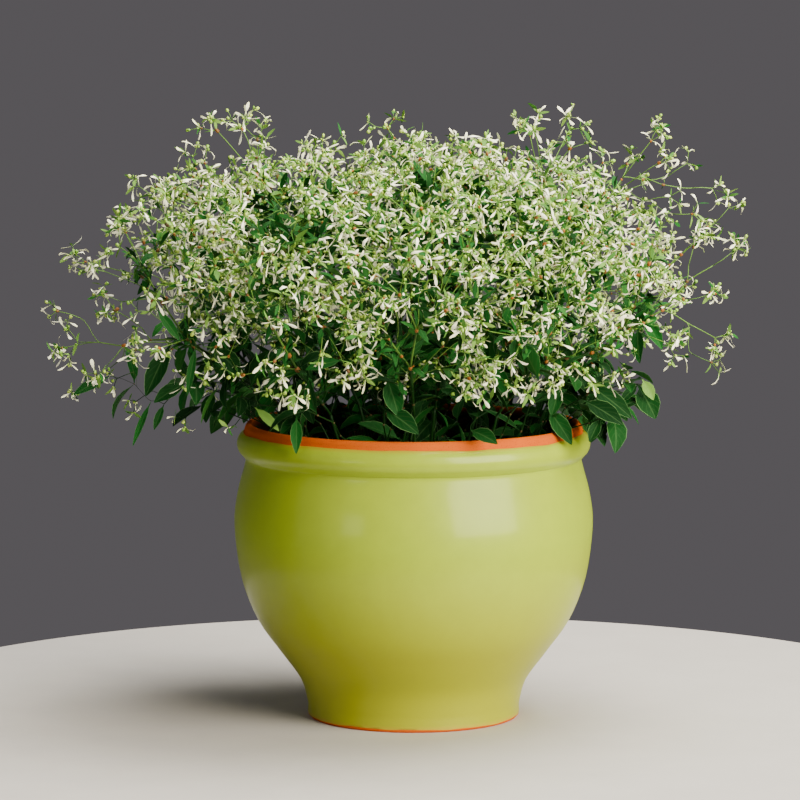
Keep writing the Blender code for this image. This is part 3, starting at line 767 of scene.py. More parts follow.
def add_leaf(stem, base, way, length, draw):
    """A leaf with its upper face to the sky, if the pot leaves room for it. Says whether it did."""
    up = square_to(way, UP + 0.5 * scatter(draw))
    curl = draw.uniform(0.2, 0.9)
    middle, tip = base + way * length * 0.55, base + (way - up * curl * 0.4) * length * 0.95
    if not (clears_pot(middle) and clears_pot(tip)) or is_in_opening(tip):
        return False
    width = length * draw.uniform(0.34, 0.44)
    tone = draw.random() ** 1.5 * 1.1 + 0.4 * youth_at(base)
    # painted shade: leaves low on the right are darkened
    if base[0] > SHADED_LEAVES_FROM and base[2] < SHADED_LEAVES_BELOW:
        tone *= 0.5
    stem["leaves"].append((base, way, up, length, width, curl, draw.uniform(0.15, 0.5), tone))
    return True


def leaf_pair(stem, place, way, side, length, draw):
    """Two leaves opposite each other, each in the first of four directions that has room for it."""
    for sign in (-1, 1):
        for _ in range(4):
            droop = draw.uniform(0.0, 0.5) * UP
            heading = unit(side * sign + way * draw.uniform(0.15, 0.7) - droop)
            if add_leaf(stem, place, heading, length * draw.uniform(0.85, 1.1), draw):
                break


def add_bracts(stem, place, way, side, size, draw):
    """The white bracts at a joint: two long ones opposite each other, and at times two short ones."""
    lowness = min(1, max(0.1, (BRACTS_DROOP_FROM - place[2]) / DROOP_GROWS))
    for k in range(4 if draw.random() < 0.14 else 2):
        angle = math.pi * k + draw.uniform(-0.5, 0.5) + (math.pi / 2 if k > 1 else 0)
        around = side * math.cos(angle) + np.cross(way, side) * math.sin(angle)
        droop = draw.uniform(0, 1.4) * lowness * UP
        heading = unit(around + way * draw.uniform(-0.1, 1.0) - droop)
        length = draw.uniform(*BRACT_LENGTH) * MM * size * (0.7 if k > 1 else 1)
        face = square_to(heading, way + 0.35 * scatter(draw))
        curl = draw.uniform(-0.5, 0.8) if draw.random() < 0.42 else draw.uniform(0.8, 2.6)
        width = draw.uniform(*BRACT_WIDTH) * MM * size
        fold, tone = draw.uniform(-0.5, 0.5), draw.random()
        stem["bracts"].append((place, heading, face, length, width, curl, fold, tone))


def add_leaflets(stem, place, way, side, draw):
    """The narrow green leaves, a few millimetres long, that sit under a pair of bracts."""
    for sign in (-1, 1):
        heading = unit(side * sign + way * draw.uniform(0.1, 0.9) + 0.3 * scatter(draw))
        length = draw.uniform(*LEAFLET_LENGTH) * MM
        face = square_to(heading, way + 0.3 * scatter(draw))
        width = length * draw.uniform(0.24, 0.36)
        curl, tone = draw.uniform(-0.2, 0.9), draw.uniform(0.9, 2.0)
        stem["leaflets"].append((place, heading, face, length, width, curl, 0.3, tone))


def add_capsule(stem, place, way, draw):
    """A green seed capsule that nods on its stalk in the middle of a pair of bracts."""
    lean = unit(way + 0.7 * scatter(draw))
    end = place + lean * draw.uniform(1.2, 2.4) * MM
    stem["stalks"].append((np.array([place, end]), np.array([0.16, 0.2]) * MM))
    length, radius = draw.uniform(*CAPSULE_LENGTH) * MM, draw.uniform(*CAPSULE_RADIUS) * MM
    stem["capsules"].append((end + lean * 0.6 * MM, lean, length, radius, draw.random()))


def add_bud(stem, place, way, draw):
    """A bud or a small green cup with the true flowers in it, close to a joint."""
    lean = unit(way + 0.8 * scatter(draw))
    length, radius = draw.uniform(*BUD_LENGTH) * MM, draw.uniform(*BUD_RADIUS) * MM
    stem["buds"].append((place + lean * draw.uniform(0.8, 2.0) * MM, lean, length, radius, draw.random()))


def cyme(stem, place, way, side, size, level, levels, draw):
    """One joint of a spray and all that grows from it."""
    length = CYME_JOINTS[level] * MM * size * draw.uniform(0.75, 1.25)
    bend = 0.28 * scatter(draw)
    end_way = unit(way + bend)
    end = place + unit(way + bend / 2) * length
    radius = CYME_RADII[level] * MM
    add_twig(stem, place, end, way, end_way, radius, radius * 0.9)
    across = square_to(end_way, np.cross(end_way, side) + 0.5 * scatter(draw))
    share = MOST_BRACTS if end[2] <= THINNED_FROM else TOP_BRACTS
    if draw.random() < (share if level else FEW_BRACTS):
        add_bracts(stem, end, end_way, square_to(end_way, np.cross(end_way, across)), size**0.5, draw)
    if draw.random() < CAPSULE_SHARE:
        add_capsule(stem, end, end_way, draw)
    if draw.random() < LEAFLET_SHARE:
        add_leaflets(stem, end, end_way, across, draw)
    for _ in range(draw.randint(0, 2) if level else 0):
        add_bud(stem, end, end_way, draw)
    if level + 1 < levels:
        if draw.random() < JOINT_SHARE:
            add_joint(stem, end, end_way, radius, draw)
        for sign, vigour in ((1, 1.0), (-1, 0.8)):
            if sign < 0 and draw.random() < ONE_SIDED:
                continue
            angle = FORK_ANGLE * draw.uniform(0.7, 1.35)
            heading = end_way * math.cos(angle) + across * sign * math.sin(angle)
            if end[0] > LIFTED_FROM and end[2] < LIFTED_BELOW:
                heading[2] = max(heading[2], LIFT)
            heading = unit(heading)
            cyme(stem, end, heading, across, size * vigour, level + 1, levels, draw)
    else:
        for _ in range(draw.randint(0, 2)):
            add_bud(stem, end, end_way, draw)


def outward_from(place):
    """The direction in which the dome's surface faces at a place, but never steeply down."""
    away = Vector(place) - DOME_CENTRE
    rise = max(away.z * 2.2 + 0.02, -0.4 * math.hypot(away.x, away.y))
    return unit(np.array([away.x, away.y * 1.1, rise]))


def leaf_length(place, share):
    """The common length of a stem's leaves at a place in the dome, in millimetres."""
    return (LOW_LEAF if place[2] < HIGH_FROM else HIGH_LEAF) * (1.2 - share)


def dress_joint(stem, place, way, side, radius, draw):
    """What grows at a joint along a stem: leaves inside the plant, smaller ones and sprays further out."""
    share = share_of_dome(place)
    add_joint(stem, place, way, radius, draw)
    heading = unit(side * draw.choice([-1, 1]) + way * 0.8 + 0.4 * outward_from(place))
    if place[2] < LEAFY_BELOW:
        is_inside = place[2] < LEAVES_FROM_SHADE and math.hypot(place[0], place[1]) < POT_INSIDE
        if not (is_inside and draw.random() < 0.6):
            leaf_pair(stem, place, way, side, draw.uniform(15, 25) * MM, draw)
    elif share < INNER_SHARE:
        if draw.random() < 0.95:
            length = leaf_length(place, share) * draw.uniform(0.8, 1.15) * MM
            leaf_pair(stem, place, way, side, length, draw)
    elif share < OUTER_SHARE:
        if draw.random() < 0.7:
            leaf_pair(stem, place, way, side, draw.uniform(7, 12) * MM, draw)
        if draw.random() < 0.35:
            cyme(stem, place, heading, side, 0.85, 0, 2, draw)
    else:
        if draw.random() < 0.5:
            add_bracts(stem, place, way, side, 1.0, draw)
        add_leaflets(stem, place, way, side, draw)
        if draw.random() < (0.5 if place[0] < STRAGGLERS_FROM else 0.3):
            cyme(stem, place, heading, side, 0.85, 1, 3, draw)


def add_shoot(stem, a, b, way_a, way_b, radius_a, radius_b, zigzag, spacing, draw):
    """A stretch of stem with a joint every so often, and what grows there. Returns the way at its end."""
    reach = np.linalg.norm(b - a)
    count = max(1, round(reach / spacing))
    shares = np.linspace(0, 1, count + 1)
    line = sweep(shares, a, b, way_a, way_b)
    side = square_to(unit(b - a), scatter(draw))
    for k in range(1, count):
        line[k] += side * (1 if k % 2 else -1) * zigzag * reach / count * draw.uniform(0.6, 1.2)
    radii = radius_a + (radius_b - radius_a) * shares
    ways = [way_a] + [unit(line[k + 1] - line[k - 1]) for k in range(1, count)]
    ways.append(way_b if count > 1 else unit(way_b + 0.001 * side))
    kink = min(1.0, zigzag * 6)
    for k in range(count):
        straight = unit(line[k + 1] - line[k])
        leave = unit(ways[k] * (1 - kink) + straight * kink) if k else ways[0]
        arrive = unit(ways[k + 1] * (1 - kink) + straight * kink) if k + 1 < count else ways[-1]
        points = add_twig(stem, line[k], line[k + 1], leave, arrive, radii[k], radii[k + 1])
        for share in (0.35, 0.7, 1):
            at = points[int(round(share * (len(points) - 1)))]
            stem["perches"].append((at, straight, radii[k + 1]))
        if k:
            turn = side if k % 2 else np.cross(ways[k], side)
            dress_joint(stem, line[k], ways[k], square_to(ways[k], turn), radii[k], draw)
    return ways[-1]


def branch_out(stem, start, start_way, growth, draw):
    """Grows the stretch up to the next fork, and so on out to the sprays at the tips."""
    a, b = np.array(start), np.array(growth["place"])
    way = np.array(growth["way"])
    leave = unit(0.45 * start_way + 0.75 * way)
    radius = TWIG_RADIUS * MM * growth["tips"] ** STEM_GROWTH
    if growth["branches"]:
        arrive = add_shoot(stem, a, b, leave, way, radius * 1.08, radius, 0.03, JOINT_SPACING, draw)
        add_joint(stem, b, arrive, radius, draw)
        side = square_to(arrive, scatter(draw))
        share = share_of_dome(b)
        if share < FORK_LEAVES_SHARE or b[2] < LEAFY_BELOW:
            length = leaf_length(b, min(share, 0.6)) * draw.uniform(0.8, 1.2) * MM
            leaf_pair(stem, b, arrive, side, length, draw)
        for branch in growth["branches"]:
            branch_out(stem, b, arrive, branch, draw)
        return
    zigzag, size = (0.2, 0.85) if b[0] > STRAGGLERS_FROM else (0.12, 1.1)
    stop = b - way * min(0.6 * np.linalg.norm(b - a), 1.1 * size * CYME_REACH)
    arrive = add_shoot(stem, a, stop, leave, way, radius * 1.08, radius * 0.85, zigzag, TIP_SPACING, draw)
    cyme(stem, stop, unit(arrive + 0.25 * outward_from(b)), scatter(draw), size, 0, 3, draw)


def add_inner_leaves(stem, draw):
    """Small dark leaves along the twigs behind the outermost sprays, larger deep inside the crown."""
    for at, way, _ in stem["perches"]:
        share = share_of_dome(at)
        if not INNER_LEAVES_IN[0] < share < INNER_LEAVES_IN[1] or at[2] <= INNER_LEAVES_FROM:
            continue
        for _ in range(draw.randint(0, 3)):
            heading = unit(0.6 * way + scatter(draw))
            face = square_to(heading, UP + 0.6 * scatter(draw))
            length = draw.uniform(5, 11) * (1.5 if share < DEEP_SHARE else 1) * MM
            width = length * draw.uniform(0.28, 0.4)
            curl, tone = draw.uniform(0, 0.8), draw.uniform(0, 1.1)
            tone += 0.8 * youth_at(at) if share > FRESH_SHARE else 0
            stem["leaflets"].append((at, heading, face, length, width, curl, 0.3, tone))


def fork_cost(perch, place):
    """How unlikely it is that a twig to a place has forked here: the further, the nearer to square to the
    stem, or too near to have a length of its own, the less likely."""
    gap = place - perch[0]
    distance = np.linalg.norm(gap)
    turn = np.dot(gap, perch[1]) / max(distance, 1e-6)
    return distance + TURN_COST * max(0, 0.5 - turn) + (TOO_NEAR_COST if distance < TOO_NEAR else 0)


def fill_in(stem, place, end_way, size, levels, draw):
    """A small spray at a place, on a twig from the nearest stem that it can have branched from."""
    at, way, radius = min(stem["perches"], key=lambda perch: fork_cost(perch, place))
    towards = unit(place - at)
    thin = min(radius * 0.8, FILLER_RADIUS)
    end_way = unit(towards + end_way) if levels else end_way
    start_way = unit(way + towards)
    arrive = add_shoot(stem, at, place, start_way, end_way, thin, thin * 0.9, 0.12, FILLER_SPACING, draw)
    if levels:
        cyme(stem, place, arrive, scatter(draw), size, 0, levels, draw)


def side_shoots(stem, foot, draw):
    """Thinner leafy shoots from the soil round a stem's foot, which fill the shade under the crown."""
    middle = math.atan2(stem["outward"].y, stem["outward"].x)
    count = OUTER_SHOOTS if stem["is_outer"] else INNER_SHOOTS
    if stem["is_outer"] and abs(stem["outward"].x) < 0.65:
        count = FRONT_SHOOTS if stem["outward"].y < 0 else BACK_SHOOTS
    for _ in range(count):
        angle = draw.uniform(0, math.tau)
        start = foot + np.array([math.cos(angle), math.sin(angle), 0]) * draw.uniform(4, 12) * MM
        if stem["is_outer"]:
            turn, reach = middle + draw.uniform(-0.34, 0.34), draw.uniform(70, 118) * MM
            height = (draw.uniform(156, 200) if stem["outward"].y < 0 else draw.uniform(152, 176)) * MM
        else:
            turn, reach = draw.uniform(0, math.tau), draw.uniform(10, 70) * MM
            height = draw.uniform(150, 235) * MM
        end = np.array([math.cos(turn) * reach, math.sin(turn) * reach, height])
        lean = unit(end - start)
        rise = unit(lean * 0.6 + 0.9 * UP)
        flat = unit(lean * np.array([1, 1, 0.25]))
        arrive = add_shoot(stem, start, end, rise, flat, 0.5 * MM, 0.3 * MM, 0.13, SIDE_SPACING, draw)
        leaf_pair(stem, end, arrive, square_to(arrive, scatter(draw)), draw.uniform(14, 24) * MM, draw)


for number, stem in enumerate(stems, 1):
    draw = random.Random(100 + number)
    foot, collar = np.array(stem["foot"]), np.array(stem["collar"])
    radius = TWIG_RADIUS * MM * stem["growth"]["tips"] ** STEM_GROWTH
    way_up, collar_way = unit(collar - foot + 0.02 * UP), unit(collar - foot)
    arrive = add_shoot(
        stem, foot, collar, way_up, collar_way, radius * 1.15, radius, 0.02, FOOT_SPACING, draw,
    )
    branch_out(stem, collar, arrive, stem["growth"], draw)
    for place in stem["fillers"]:
        outer_place = kept_inside(place, stem["walls"], FILLER_ROOM)
        outward = outward_from(outer_place)
        levels = 2 if place.x > STRAGGLERS_FROM else 3
        fill_in(stem, np.array(outer_place) - outward * CYME_REACH, 0.5 * outward, 1.0, levels, draw)
    side_shoots(stem, foot, draw)
    add_inner_leaves(stem, draw)

# Leaves that stand out at the front, each on a twig of its own: where its base and its tip are, in
# millimetres, its width, and its tone from 0, dark, to 2, lime
FRONT_LEAVES = [
    ((-57, -62, 158), (-57, -73, 141), 6, 0.5), ((66, -40, 159), (77, -49, 142.5), 9, 0.3),
    ((27, -78, 153.5), (40, -88, 147.5), 8, 0.2), ((92, -22, 152.5), (87, -38, 142), 9, 0.4),
    ((-13, -72, 178), (-7.5, -80, 160), 10, 0.3), ((-15, -76, 164), (2, -86, 152), 10, 0.1),
    ((-34, -85, 188), (-52, -85, 183), 6, 0.6), ((-78, -48, 161), (-66, -52, 149.5), 5, 1.6),
    ((-58, -68, 172), (-60, -72, 160), 4, 1.8),
]
# How the photograph lies to the plant: where the pot's axis and the camera's target are in it, in pixels,
# its scale there, and the sine and cosine of the camera's elevation
AXIS_ACROSS, TARGET_DOWN = 413.6, 400
PIXELS_PER_MM = 2
TARGET_HEIGHT = 159  # mm
VIEW_DISTANCE = 2170  # mm
VIEW_SINE, VIEW_COSINE = 0.1132, 0.99357


def from_pixel(across, down, depth):
    """The place in millimetres of a pixel of the photograph at a depth behind the pot's axis."""
    above = (TARGET_DOWN - down) / PIXELS_PER_MM
    height = TARGET_HEIGHT + above
    for _ in range(4):
        nearer = (height - TARGET_HEIGHT) * VIEW_SINE - depth * VIEW_COSINE
        spread = VIEW_DISTANCE / (VIEW_DISTANCE - nearer)
        height = TARGET_HEIGHT + (above / spread - depth * VIEW_SINE) / VIEW_COSINE
    return np.array([(across - AXIS_ACROSS) / PIXELS_PER_MM / spread, depth, height])


# More such leaves, with their bases and tips as pixels across and down and a depth in millimetres
PIXEL_LEAVES = [
    ((586, 383, -42), (631, 419, -50), 10, 0.1), ((583, 400, -50), (622, 425, -58), 10, 0.0),
    ((638, 385, -30), (655, 419, -38), 12, 0.2), ((638, 385, -30), (620, 403, -36), 5, 0.1),
    ((642, 379, -34), (653, 400, -38), 6, 1.6), ((600, 419, -54), (589, 442, -60), 6, 0.1),
    ((606, 422, -50), (600, 438, -54), 5, 0.0), ((560, 386, -62), (551, 416, -68), 7, 0.3),
    ((567, 390, -58), (540, 395, -64), 8, 0.2),
    ((156, 309, -60), (179, 341, -64), 5, 0.6), ((196, 344, -62), (187, 396, -66), 4, 0.5),
    ((171, 343, -40), (146, 396, -46), 10, 0.1), ((186, 383, -40), (154, 403, -48), 8, 0.2),
    ((164, 404, -30), (154, 430, -34), 4, 0.3), ((151, 401, -20), (133, 446, -24), 3.4, 0.9),
    ((214, 347, -52), (240, 376, -60), 10, 0.1), ((111, 376, -10), (73, 396, -16), 6, 0.4),
]
# Sprays at the edges, placed the same way, with the way each grows, its size and how often it forks
PIXEL_SPRAYS = [
    ((246, 409, -50), (-0.1, -0.1, -1), 0.75, 2), ((195, 405, -30), (-0.3, -0.2, -1), 0.8, 2),
    ((80, 318, -20), (-1, 0, 0.2), 0.8, 2), ((78, 345, -15), (-1, 0, -0.3), 0.8, 2),
    ((96, 384, -10), (-0.9, -0.1, -0.5), 0.8, 2), ((120, 360, -20), (-0.8, -0.2, -0.5), 0.8, 2),
    ((134, 372, -15), (-0.7, -0.2, -0.7), 0.8, 2), ((150, 392, -20), (-0.7, -0.2, -0.8), 0.8, 2),
    ((692, 354, -34), (1, -0.1, -0.1), 0.9, 2),
    ((692, 188, -12), (1, 0, 0.25), 0.9, 2), ((668, 176, 8), (0.5, -0.2, 0.7), 0.8, 2),
    ((648, 200, -20), (0.6, -0.3, 0.4), 0.9, 2), ((672, 214, -30), (0.9, -0.3, 0.1), 0.9, 2),
]


def nearest_stem(place):
    """The stem that a twig to a place is the most likely to have forked from."""
    return min(stems, key=lambda stem: min(fork_cost(perch, place) for perch in stem["perches"]))


draw = random.Random(7)
placed = [(np.array(base, float), np.array(tip, float), *look) for base, tip, *look in FRONT_LEAVES]
placed += [(from_pixel(*base), from_pixel(*tip), *look) for base, tip, *look in PIXEL_LEAVES]
for base, tip, width, tone in placed:
    way = unit(tip - base)
    stem = nearest_stem(base * MM)
    fill_in(stem, base * MM, unit(way + 0.5 * UP), 1.0, 0, draw)
    face = square_to(way, np.array([0, -1, 0.7]))
    length = np.linalg.norm(tip - base) * MM * 1.05
    stem["leaves"].append((base * MM, unit(way + 0.18 * face), face, length, width * MM, 0.4, 0.3, tone))
for place, way, size, levels in PIXEL_SPRAYS:
    place = from_pixel(*place) * MM
    fill_in(nearest_stem(place), place, 2.0 * unit(np.array(way)), size, levels, draw)

# Stem skin: green and smooth, a little waxy, yellower in the thin young twigs, darker in the thick old stems,
# and darker low down under the crown as painted shade
STEM_YOUNG = "#709A3C"
STEM_OLD_AND_SHADED = "#0A2C06"
STEM_SHADE_BELOW = 192 * MM  # painted shade: stems are the darker the lower they are below this
STEM_SHADE_FADE = 34 * MM
SKIN_PATCH = 12  # mm
stem_green, tree = new_material("living green stem skin")
place = add_node(tree, "TexCoord").outputs["Object"]
age = add_node(tree, "Attribute", attribute_name="age").outputs["Fac"]
patch = add_node(tree, "TexNoise", {"Vector": place, "Scale": 1000 / SKIN_PATCH, "Detail": 3})
blend = add_node(tree, "Math", {0: age, 1: patch}, operation="ADD")
shift = add_node(
    tree, "MapRange", {"Value": blend, "From Min": 0.45, "From Max": 1.3, "To Min": 0, "To Max": 1},
)
green = add_node(tree, "Mix", {"Factor": shift, "A": STEM_YOUNG, "B": STEM_OLD_AND_SHADED}, data_type="RGBA")
shader = add_node(
    tree, "BsdfPrincipled", {"Base Color": green, "Roughness": 0.5, "Specular IOR Level": 0.15},
)
add_node(tree, "OutputMaterial", {"Surface": shader})

# Joint skin: corky and orange-brown where old leaves and stipules were shed, olive at random, and dark olive
# low down as painted shade
JOINT_ORANGE = "#A25E0A"
JOINT_OLIVE_AND_SHADE = "#4E3C10"
joint_brown, tree = new_material("corky stem joint")
tone = add_node(tree, "Attribute", attribute_name="tone").outputs["Fac"]
cork = add_node(tree, "Mix", {"Factor": tone, "A": JOINT_ORANGE, "B": JOINT_OLIVE_AND_SHADE}, data_type="RGBA")
shader = add_node(tree, "BsdfPrincipled", {"Base Color": cork, "Roughness": 0.6})
add_node(tree, "OutputMaterial", {"Surface": shader})


def tubes(points, radii, around):
    """Round closed tubes, one a row, along (rows, count, 3) points, with a radius at each point."""
    rows, count = points.shape[:2]
    ways = np.gradient(points, axis=1)
    ways /= np.linalg.norm(ways, axis=2, keepdims=True) + 1e-12
    angle = np.arange(around) * math.tau / around
    rings = np.zeros((rows, count, around, 3))
    side = np.where(np.abs(ways[:, 0, 2:]) < 0.9, [[0, 0, 1.0]], [[1.0, 0, 0]])
    for k in range(count):
        side = side - ways[:, k] * np.sum(side * ways[:, k], axis=1, keepdims=True)
        side /= np.linalg.norm(side, axis=1, keepdims=True) + 1e-12
        other = np.cross(ways[:, k], side)
        spokes = side[:, None] * np.cos(angle)[None, :, None] + other[:, None] * np.sin(angle)[None, :, None]
        rings[:, k] = points[:, k, None] + spokes * radii[:, k, None, None]
    ends = np.stack([
        points[:, 0] - ways[:, 0] * radii[:, :1] * 0.6, points[:, -1] + ways[:, -1] * radii[:, -1:] * 0.6,
    ], axis=1)
    return skin(rings, ends)


def columns(rows):
    """The columns of a list of rows, each as an array."""
    return (np.array(column) for column in zip(*rows))


STALK_SIDES = 3
STALK_AGE = 0.1
JOINT_SIDES, JOINT_RINGS = 5, 2
OLD_RADIUS = 1.2 * MM  # a stem as thick as this is old
for stem in stems:
    parts, ages = [], []
    for shares, is_thick, around in (
        (LONG_SHARES, True, 6), (LONG_SHARES, False, 4), (SHORT_SHARES, True, 5), (SHORT_SHARES, False, 3),
    ):
        group = [
            twig for twig in stem["twigs"]
            if len(twig[0]) == len(shares) and (twig[1][0] > THICK_FROM) == is_thick
        ]
        if group:
            lines, radii = columns(group)
            parts.append(tubes(lines, radii, around))
            # painted shade: a twig's colour darkens the lower it is
            lowness = np.clip((STEM_SHADE_BELOW - lines[:, :, 2].mean(axis=1)) / STEM_SHADE_FADE, 0, 1.2)
            ages.append(np.repeat(radii.mean(axis=1) / OLD_RADIUS + lowness, len(shares) * around + 2))
    lines, radii = columns(stem["stalks"])
    parts.append(tubes(lines, radii, STALK_SIDES))
    ages.append(np.full(len(radii) * (2 * STALK_SIDES + 2), STALK_AGE))
    add_piece(
        stem["name"] + "_twigs", parts, stem_green, "green_stem", [stem["name"]], age=np.concatenate(ages),
    )
    places, ways, lengths, radii, tones = columns(stem["joints"])
    beads = lumps(places, ways, lengths, radii, JOINT_SIDES, rings=JOINT_RINGS)
    add_piece(
        stem["name"] + "_joints", [beads], joint_brown, "stem_joint",
        tone=np.repeat(tones, JOINT_SIDES * JOINT_RINGS + 2),
    )

# The leaves: small, thin and pointed, on short stalks, dark green above with a paler midrib and edge. Each
# is folded a little along its midrib and arches back to its tip.

# The form of a blade: shares of its length, its breadth at each, its section there, from one side over its
# top to the other and back underneath, as how far across and how high in mm, and where its arch starts
LEAF_FORM = (
    [0.04, 0.12, 0.26, 0.46, 0.66, 0.84, 0.95], [0.1, 0.16, 0.72, 1.0, 0.9, 0.5, 0.2],
    [-1, -0.5, 0, 0.5, 1, 0], [0, 0.1, 0.02, 0.1, 0, -0.25], 0.1,
)
LEAFLET_FORM = ([0.08, 0.42, 0.82], [0.25, 1.0, 0.55], [-1, 0, 1], [0, 0.14, 0], 0.0)


def blades(rows, shares, breadths, across, raised, start):
    """Thin closed blades, such as leaves or petals. Returns their skin, and each point's place on its blade.

    A row holds base, way, face, length, width, curl, fold and tone."""
    base, way, face, length, width, curl, fold, tone = columns(rows)
    right = np.cross(way, face)
    shares, breadths = np.array(shares), np.array(breadths)
    across, raised = np.array(across), np.array(raised) * MM
    stops = np.concatenate([[0], shares, [1]])
    middles = (stops[1:] + stops[:-1]) / 2
    angles = -curl[:, None] * np.clip((middles - start) / (1 - start), 0, 1)[None] ** 1.3
    steps = np.diff(stops)[None] * length[:, None]
    start_point = np.zeros((len(rows), 1))
    ahead = np.concatenate([start_point, np.cumsum(np.cos(angles) * steps, axis=1)], axis=1)
    rise = np.concatenate([start_point, np.cumsum(np.sin(angles) * steps, axis=1)], axis=1)
    spine = base[:, None] + way[:, None] * ahead[..., None] + face[:, None] * rise[..., None]
    slopes = (angles[:, 1:] + angles[:, :-1]) / 2
    normals = face[:, None] * np.cos(slopes)[..., None] - way[:, None] * np.sin(slopes)[..., None]
    half = width[:, None, None] / 2 * breadths[None, :, None] * across[None, None, :]
    body = raised[None, None, :] * np.minimum(1, breadths * 2)[None, :, None]
    up = np.abs(half) * np.tan(fold)[:, None, None] + body
    sideways = right[:, None, None] * half[..., None]
    rings = spine[:, 1:-1, None] + sideways + normals[:, :, None] * up[..., None]
    ends = spine[:, [0, -1]]
    count = len(shares) * len(across)
    marks = np.zeros((count + 2, 3))
    marks[:count, 0] = np.tile(across, len(shares))
    marks[:count, 1] = np.repeat(shares, len(across))
    marks[:count, 2] = np.tile(raised < 0, len(shares))
    marks[count + 1, 1] = 1
    return skin(rings, ends), np.tile(marks, (len(rows), 1)), np.repeat(tone, count + 2)


# Leaf blade: waxy skin over dark green flesh, with a sunken pale midrib, faint side veins and a thin pale
# edge. Older leaves are blackish green, the youngest lime
LEAF_DARK = "#042808"
LEAF_FRESH = "#18581C"
LEAF_LIME = "#7CA044"
LEAF_RIB = "#7DAA66"
LEAF_UNDER = "#1A4A14"
RIB_STRENGTH, EDGE_STRENGTH, VEIN_STRENGTH, UNDER_STRENGTH = 0.12, 0.6, 0.045, 0.45
VEIN_SLANT = -0.35
VEIN_SPACING = 0.085  # of the leaf's length
leaf_green, tree = new_material("waxy green leaf blade")
marks = add_node(tree, "Attribute", attribute_name="marks").outputs["Vector"]
axes = add_node(tree, "SeparateXYZ", {"Vector": marks})
tone = add_node(tree, "Attribute", attribute_name="tone").outputs["Fac"]
youth = add_node(tree, "Math", {0: tone, 1: 1.0}, operation="SUBTRACT")
from_rib = add_node(tree, "Math", {0: axes.outputs["X"]}, operation="ABSOLUTE")
slant = add_node(tree, "Math", {0: from_rib, 1: VEIN_SLANT, 2: axes.outputs["Y"]}, operation="MULTIPLY_ADD")
comb = add_node(tree, "Math", {0: slant, 1: VEIN_SPACING}, operation="PINGPONG")
rib, edge, veins = (
    add_node(
        tree, "MapRange",
        {"Value": place, "From Min": near, "From Max": far, "To Min": at_near, "To Max": at_far},
    )
    for place, near, far, at_near, at_far in (
        (from_rib, 0.02, 0.1, RIB_STRENGTH, 0.0), (from_rib, 0.94, 0.99, 0.0, EDGE_STRENGTH),
        (comb, 0.0, 0.02, VEIN_STRENGTH, 0.0),
    )
)
pale = add_node(tree, "Math", {0: rib, 1: edge}, operation="MAXIMUM")
pale = add_node(tree, "Math", {0: pale, 1: veins}, operation="MAXIMUM")
under = add_node(tree, "Math", {0: axes.outputs["Z"], 1: UNDER_STRENGTH}, operation="MULTIPLY")
blade = LEAF_DARK
for share, colour in ((tone, LEAF_FRESH), (youth, LEAF_LIME), (pale, LEAF_RIB), (under, LEAF_UNDER)):
    blade = add_node(tree, "Mix", {"Factor": share, "A": blade, "B": colour}, data_type="RGBA")
shader = add_node(
    tree, "BsdfPrincipled", {"Base Color": blade, "Roughness": 0.6, "Specular IOR Level": 0.07},
)
add_node(tree, "OutputMaterial", {"Surface": shader})

for stem in stems:
    surface, marks, tones = blades(stem["leaves"], *LEAF_FORM)
    small, small_marks, small_tones = blades(stem["leaflets"], *LEAFLET_FORM)
    add_piece(
        stem["name"] + "_leaves", [surface, small], leaf_green, "leaf", sharp=math.radians(70),
        marks=np.concatenate([marks, small_marks]), tone=np.concatenate([tones, small_tones]),
    )

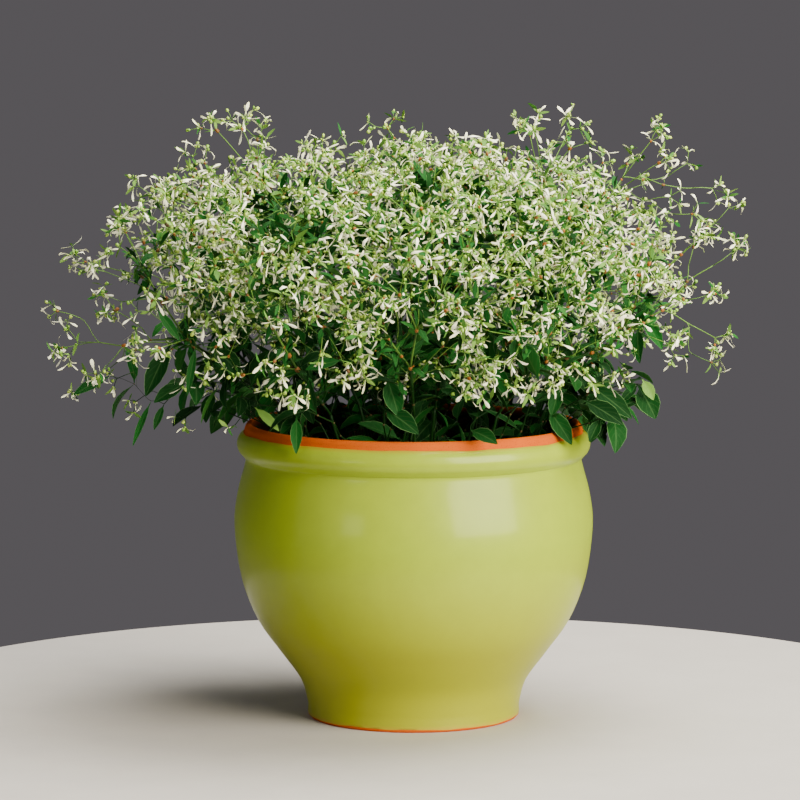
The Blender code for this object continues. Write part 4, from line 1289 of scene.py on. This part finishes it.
# The bracts: petal-like white blades the size of a grain of rice, narrow and greenish at the base, rounded
# at the end, in opposite pairs at every joint of a spray. Many are bent back.
BRACT_FORM = ([0.06, 0.36, 0.7, 0.92], [0.16, 0.34, 1.0, 0.66], [-1, 0, 1], [0, 0.14, 0], 0.2)
BRACT_WHITE = "#FFFFDC"
BRACT_CREAM = "#F8FAC6"
BRACT_CLAW = "#A6CC62"
bract_white, tree = new_material("white petal-like bract")
marks = add_node(tree, "Attribute", attribute_name="marks").outputs["Vector"]
along = add_node(tree, "SeparateXYZ", {"Vector": marks}).outputs["Y"]
tone = add_node(tree, "Attribute", attribute_name="tone").outputs["Fac"]
cream, claw = (
    add_node(
        tree, "MapRange",
        {"Value": value, "From Min": low, "From Max": high, "To Min": at_low, "To Max": at_high},
    )
    for value, low, high, at_low, at_high in ((tone, 0.4, 1.0, 0.0, 0.8), (along, 0.05, 0.45, 0.95, 0.0))
)
petal = BRACT_WHITE
for share, colour in ((cream, BRACT_CREAM), (claw, BRACT_CLAW)):
    petal = add_node(tree, "Mix", {"Factor": share, "A": petal, "B": colour}, data_type="RGBA")
shader = add_node(tree, "BsdfPrincipled", {"Base Color": petal, "Roughness": 0.36})
add_node(tree, "OutputMaterial", {"Surface": shader})

for stem in stems:
    surface, marks, tones = blades(stem["bracts"], *BRACT_FORM)
    add_piece(
        stem["name"] + "_bracts", [surface], bract_white, "white_bract", sharp=math.radians(70),
        marks=marks, tone=tones,
    )

# The seed capsules and buds: three-lobed yellow-green capsules the size of a pinhead that nod among the
# bracts, and paler buds at the ends of the sprays.
CAPSULE_GREEN = "#78B02C"
CAPSULE_PALE = "#BCD058"
CAPSULE_LOBES = 0.14
LUMP_RINGS = 2
capsule_green, tree = new_material("fresh seed capsule skin")
tone = add_node(tree, "Attribute", attribute_name="tone").outputs["Fac"]
ripe = add_node(tree, "Mix", {"Factor": tone, "A": CAPSULE_GREEN, "B": CAPSULE_PALE}, data_type="RGBA")
shader = add_node(tree, "BsdfPrincipled", {"Base Color": ripe, "Roughness": 0.4})
add_node(tree, "OutputMaterial", {"Surface": shader})

for stem in stems:
    parts, tones = [], []
    for rows, around, lobes in ((stem["capsules"], 6, CAPSULE_LOBES), (stem["buds"], 4, 0.0)):
        places, ways, lengths, radii, tone = columns(rows)
        parts.append(lumps(places, ways, lengths, radii, around, lobes, LUMP_RINGS))
        tones.append(np.repeat(tone, around * LUMP_RINGS + 2))
    add_piece(stem["name"] + "_capsules", parts, capsule_green, "seed_capsule", tone=np.concatenate(tones))
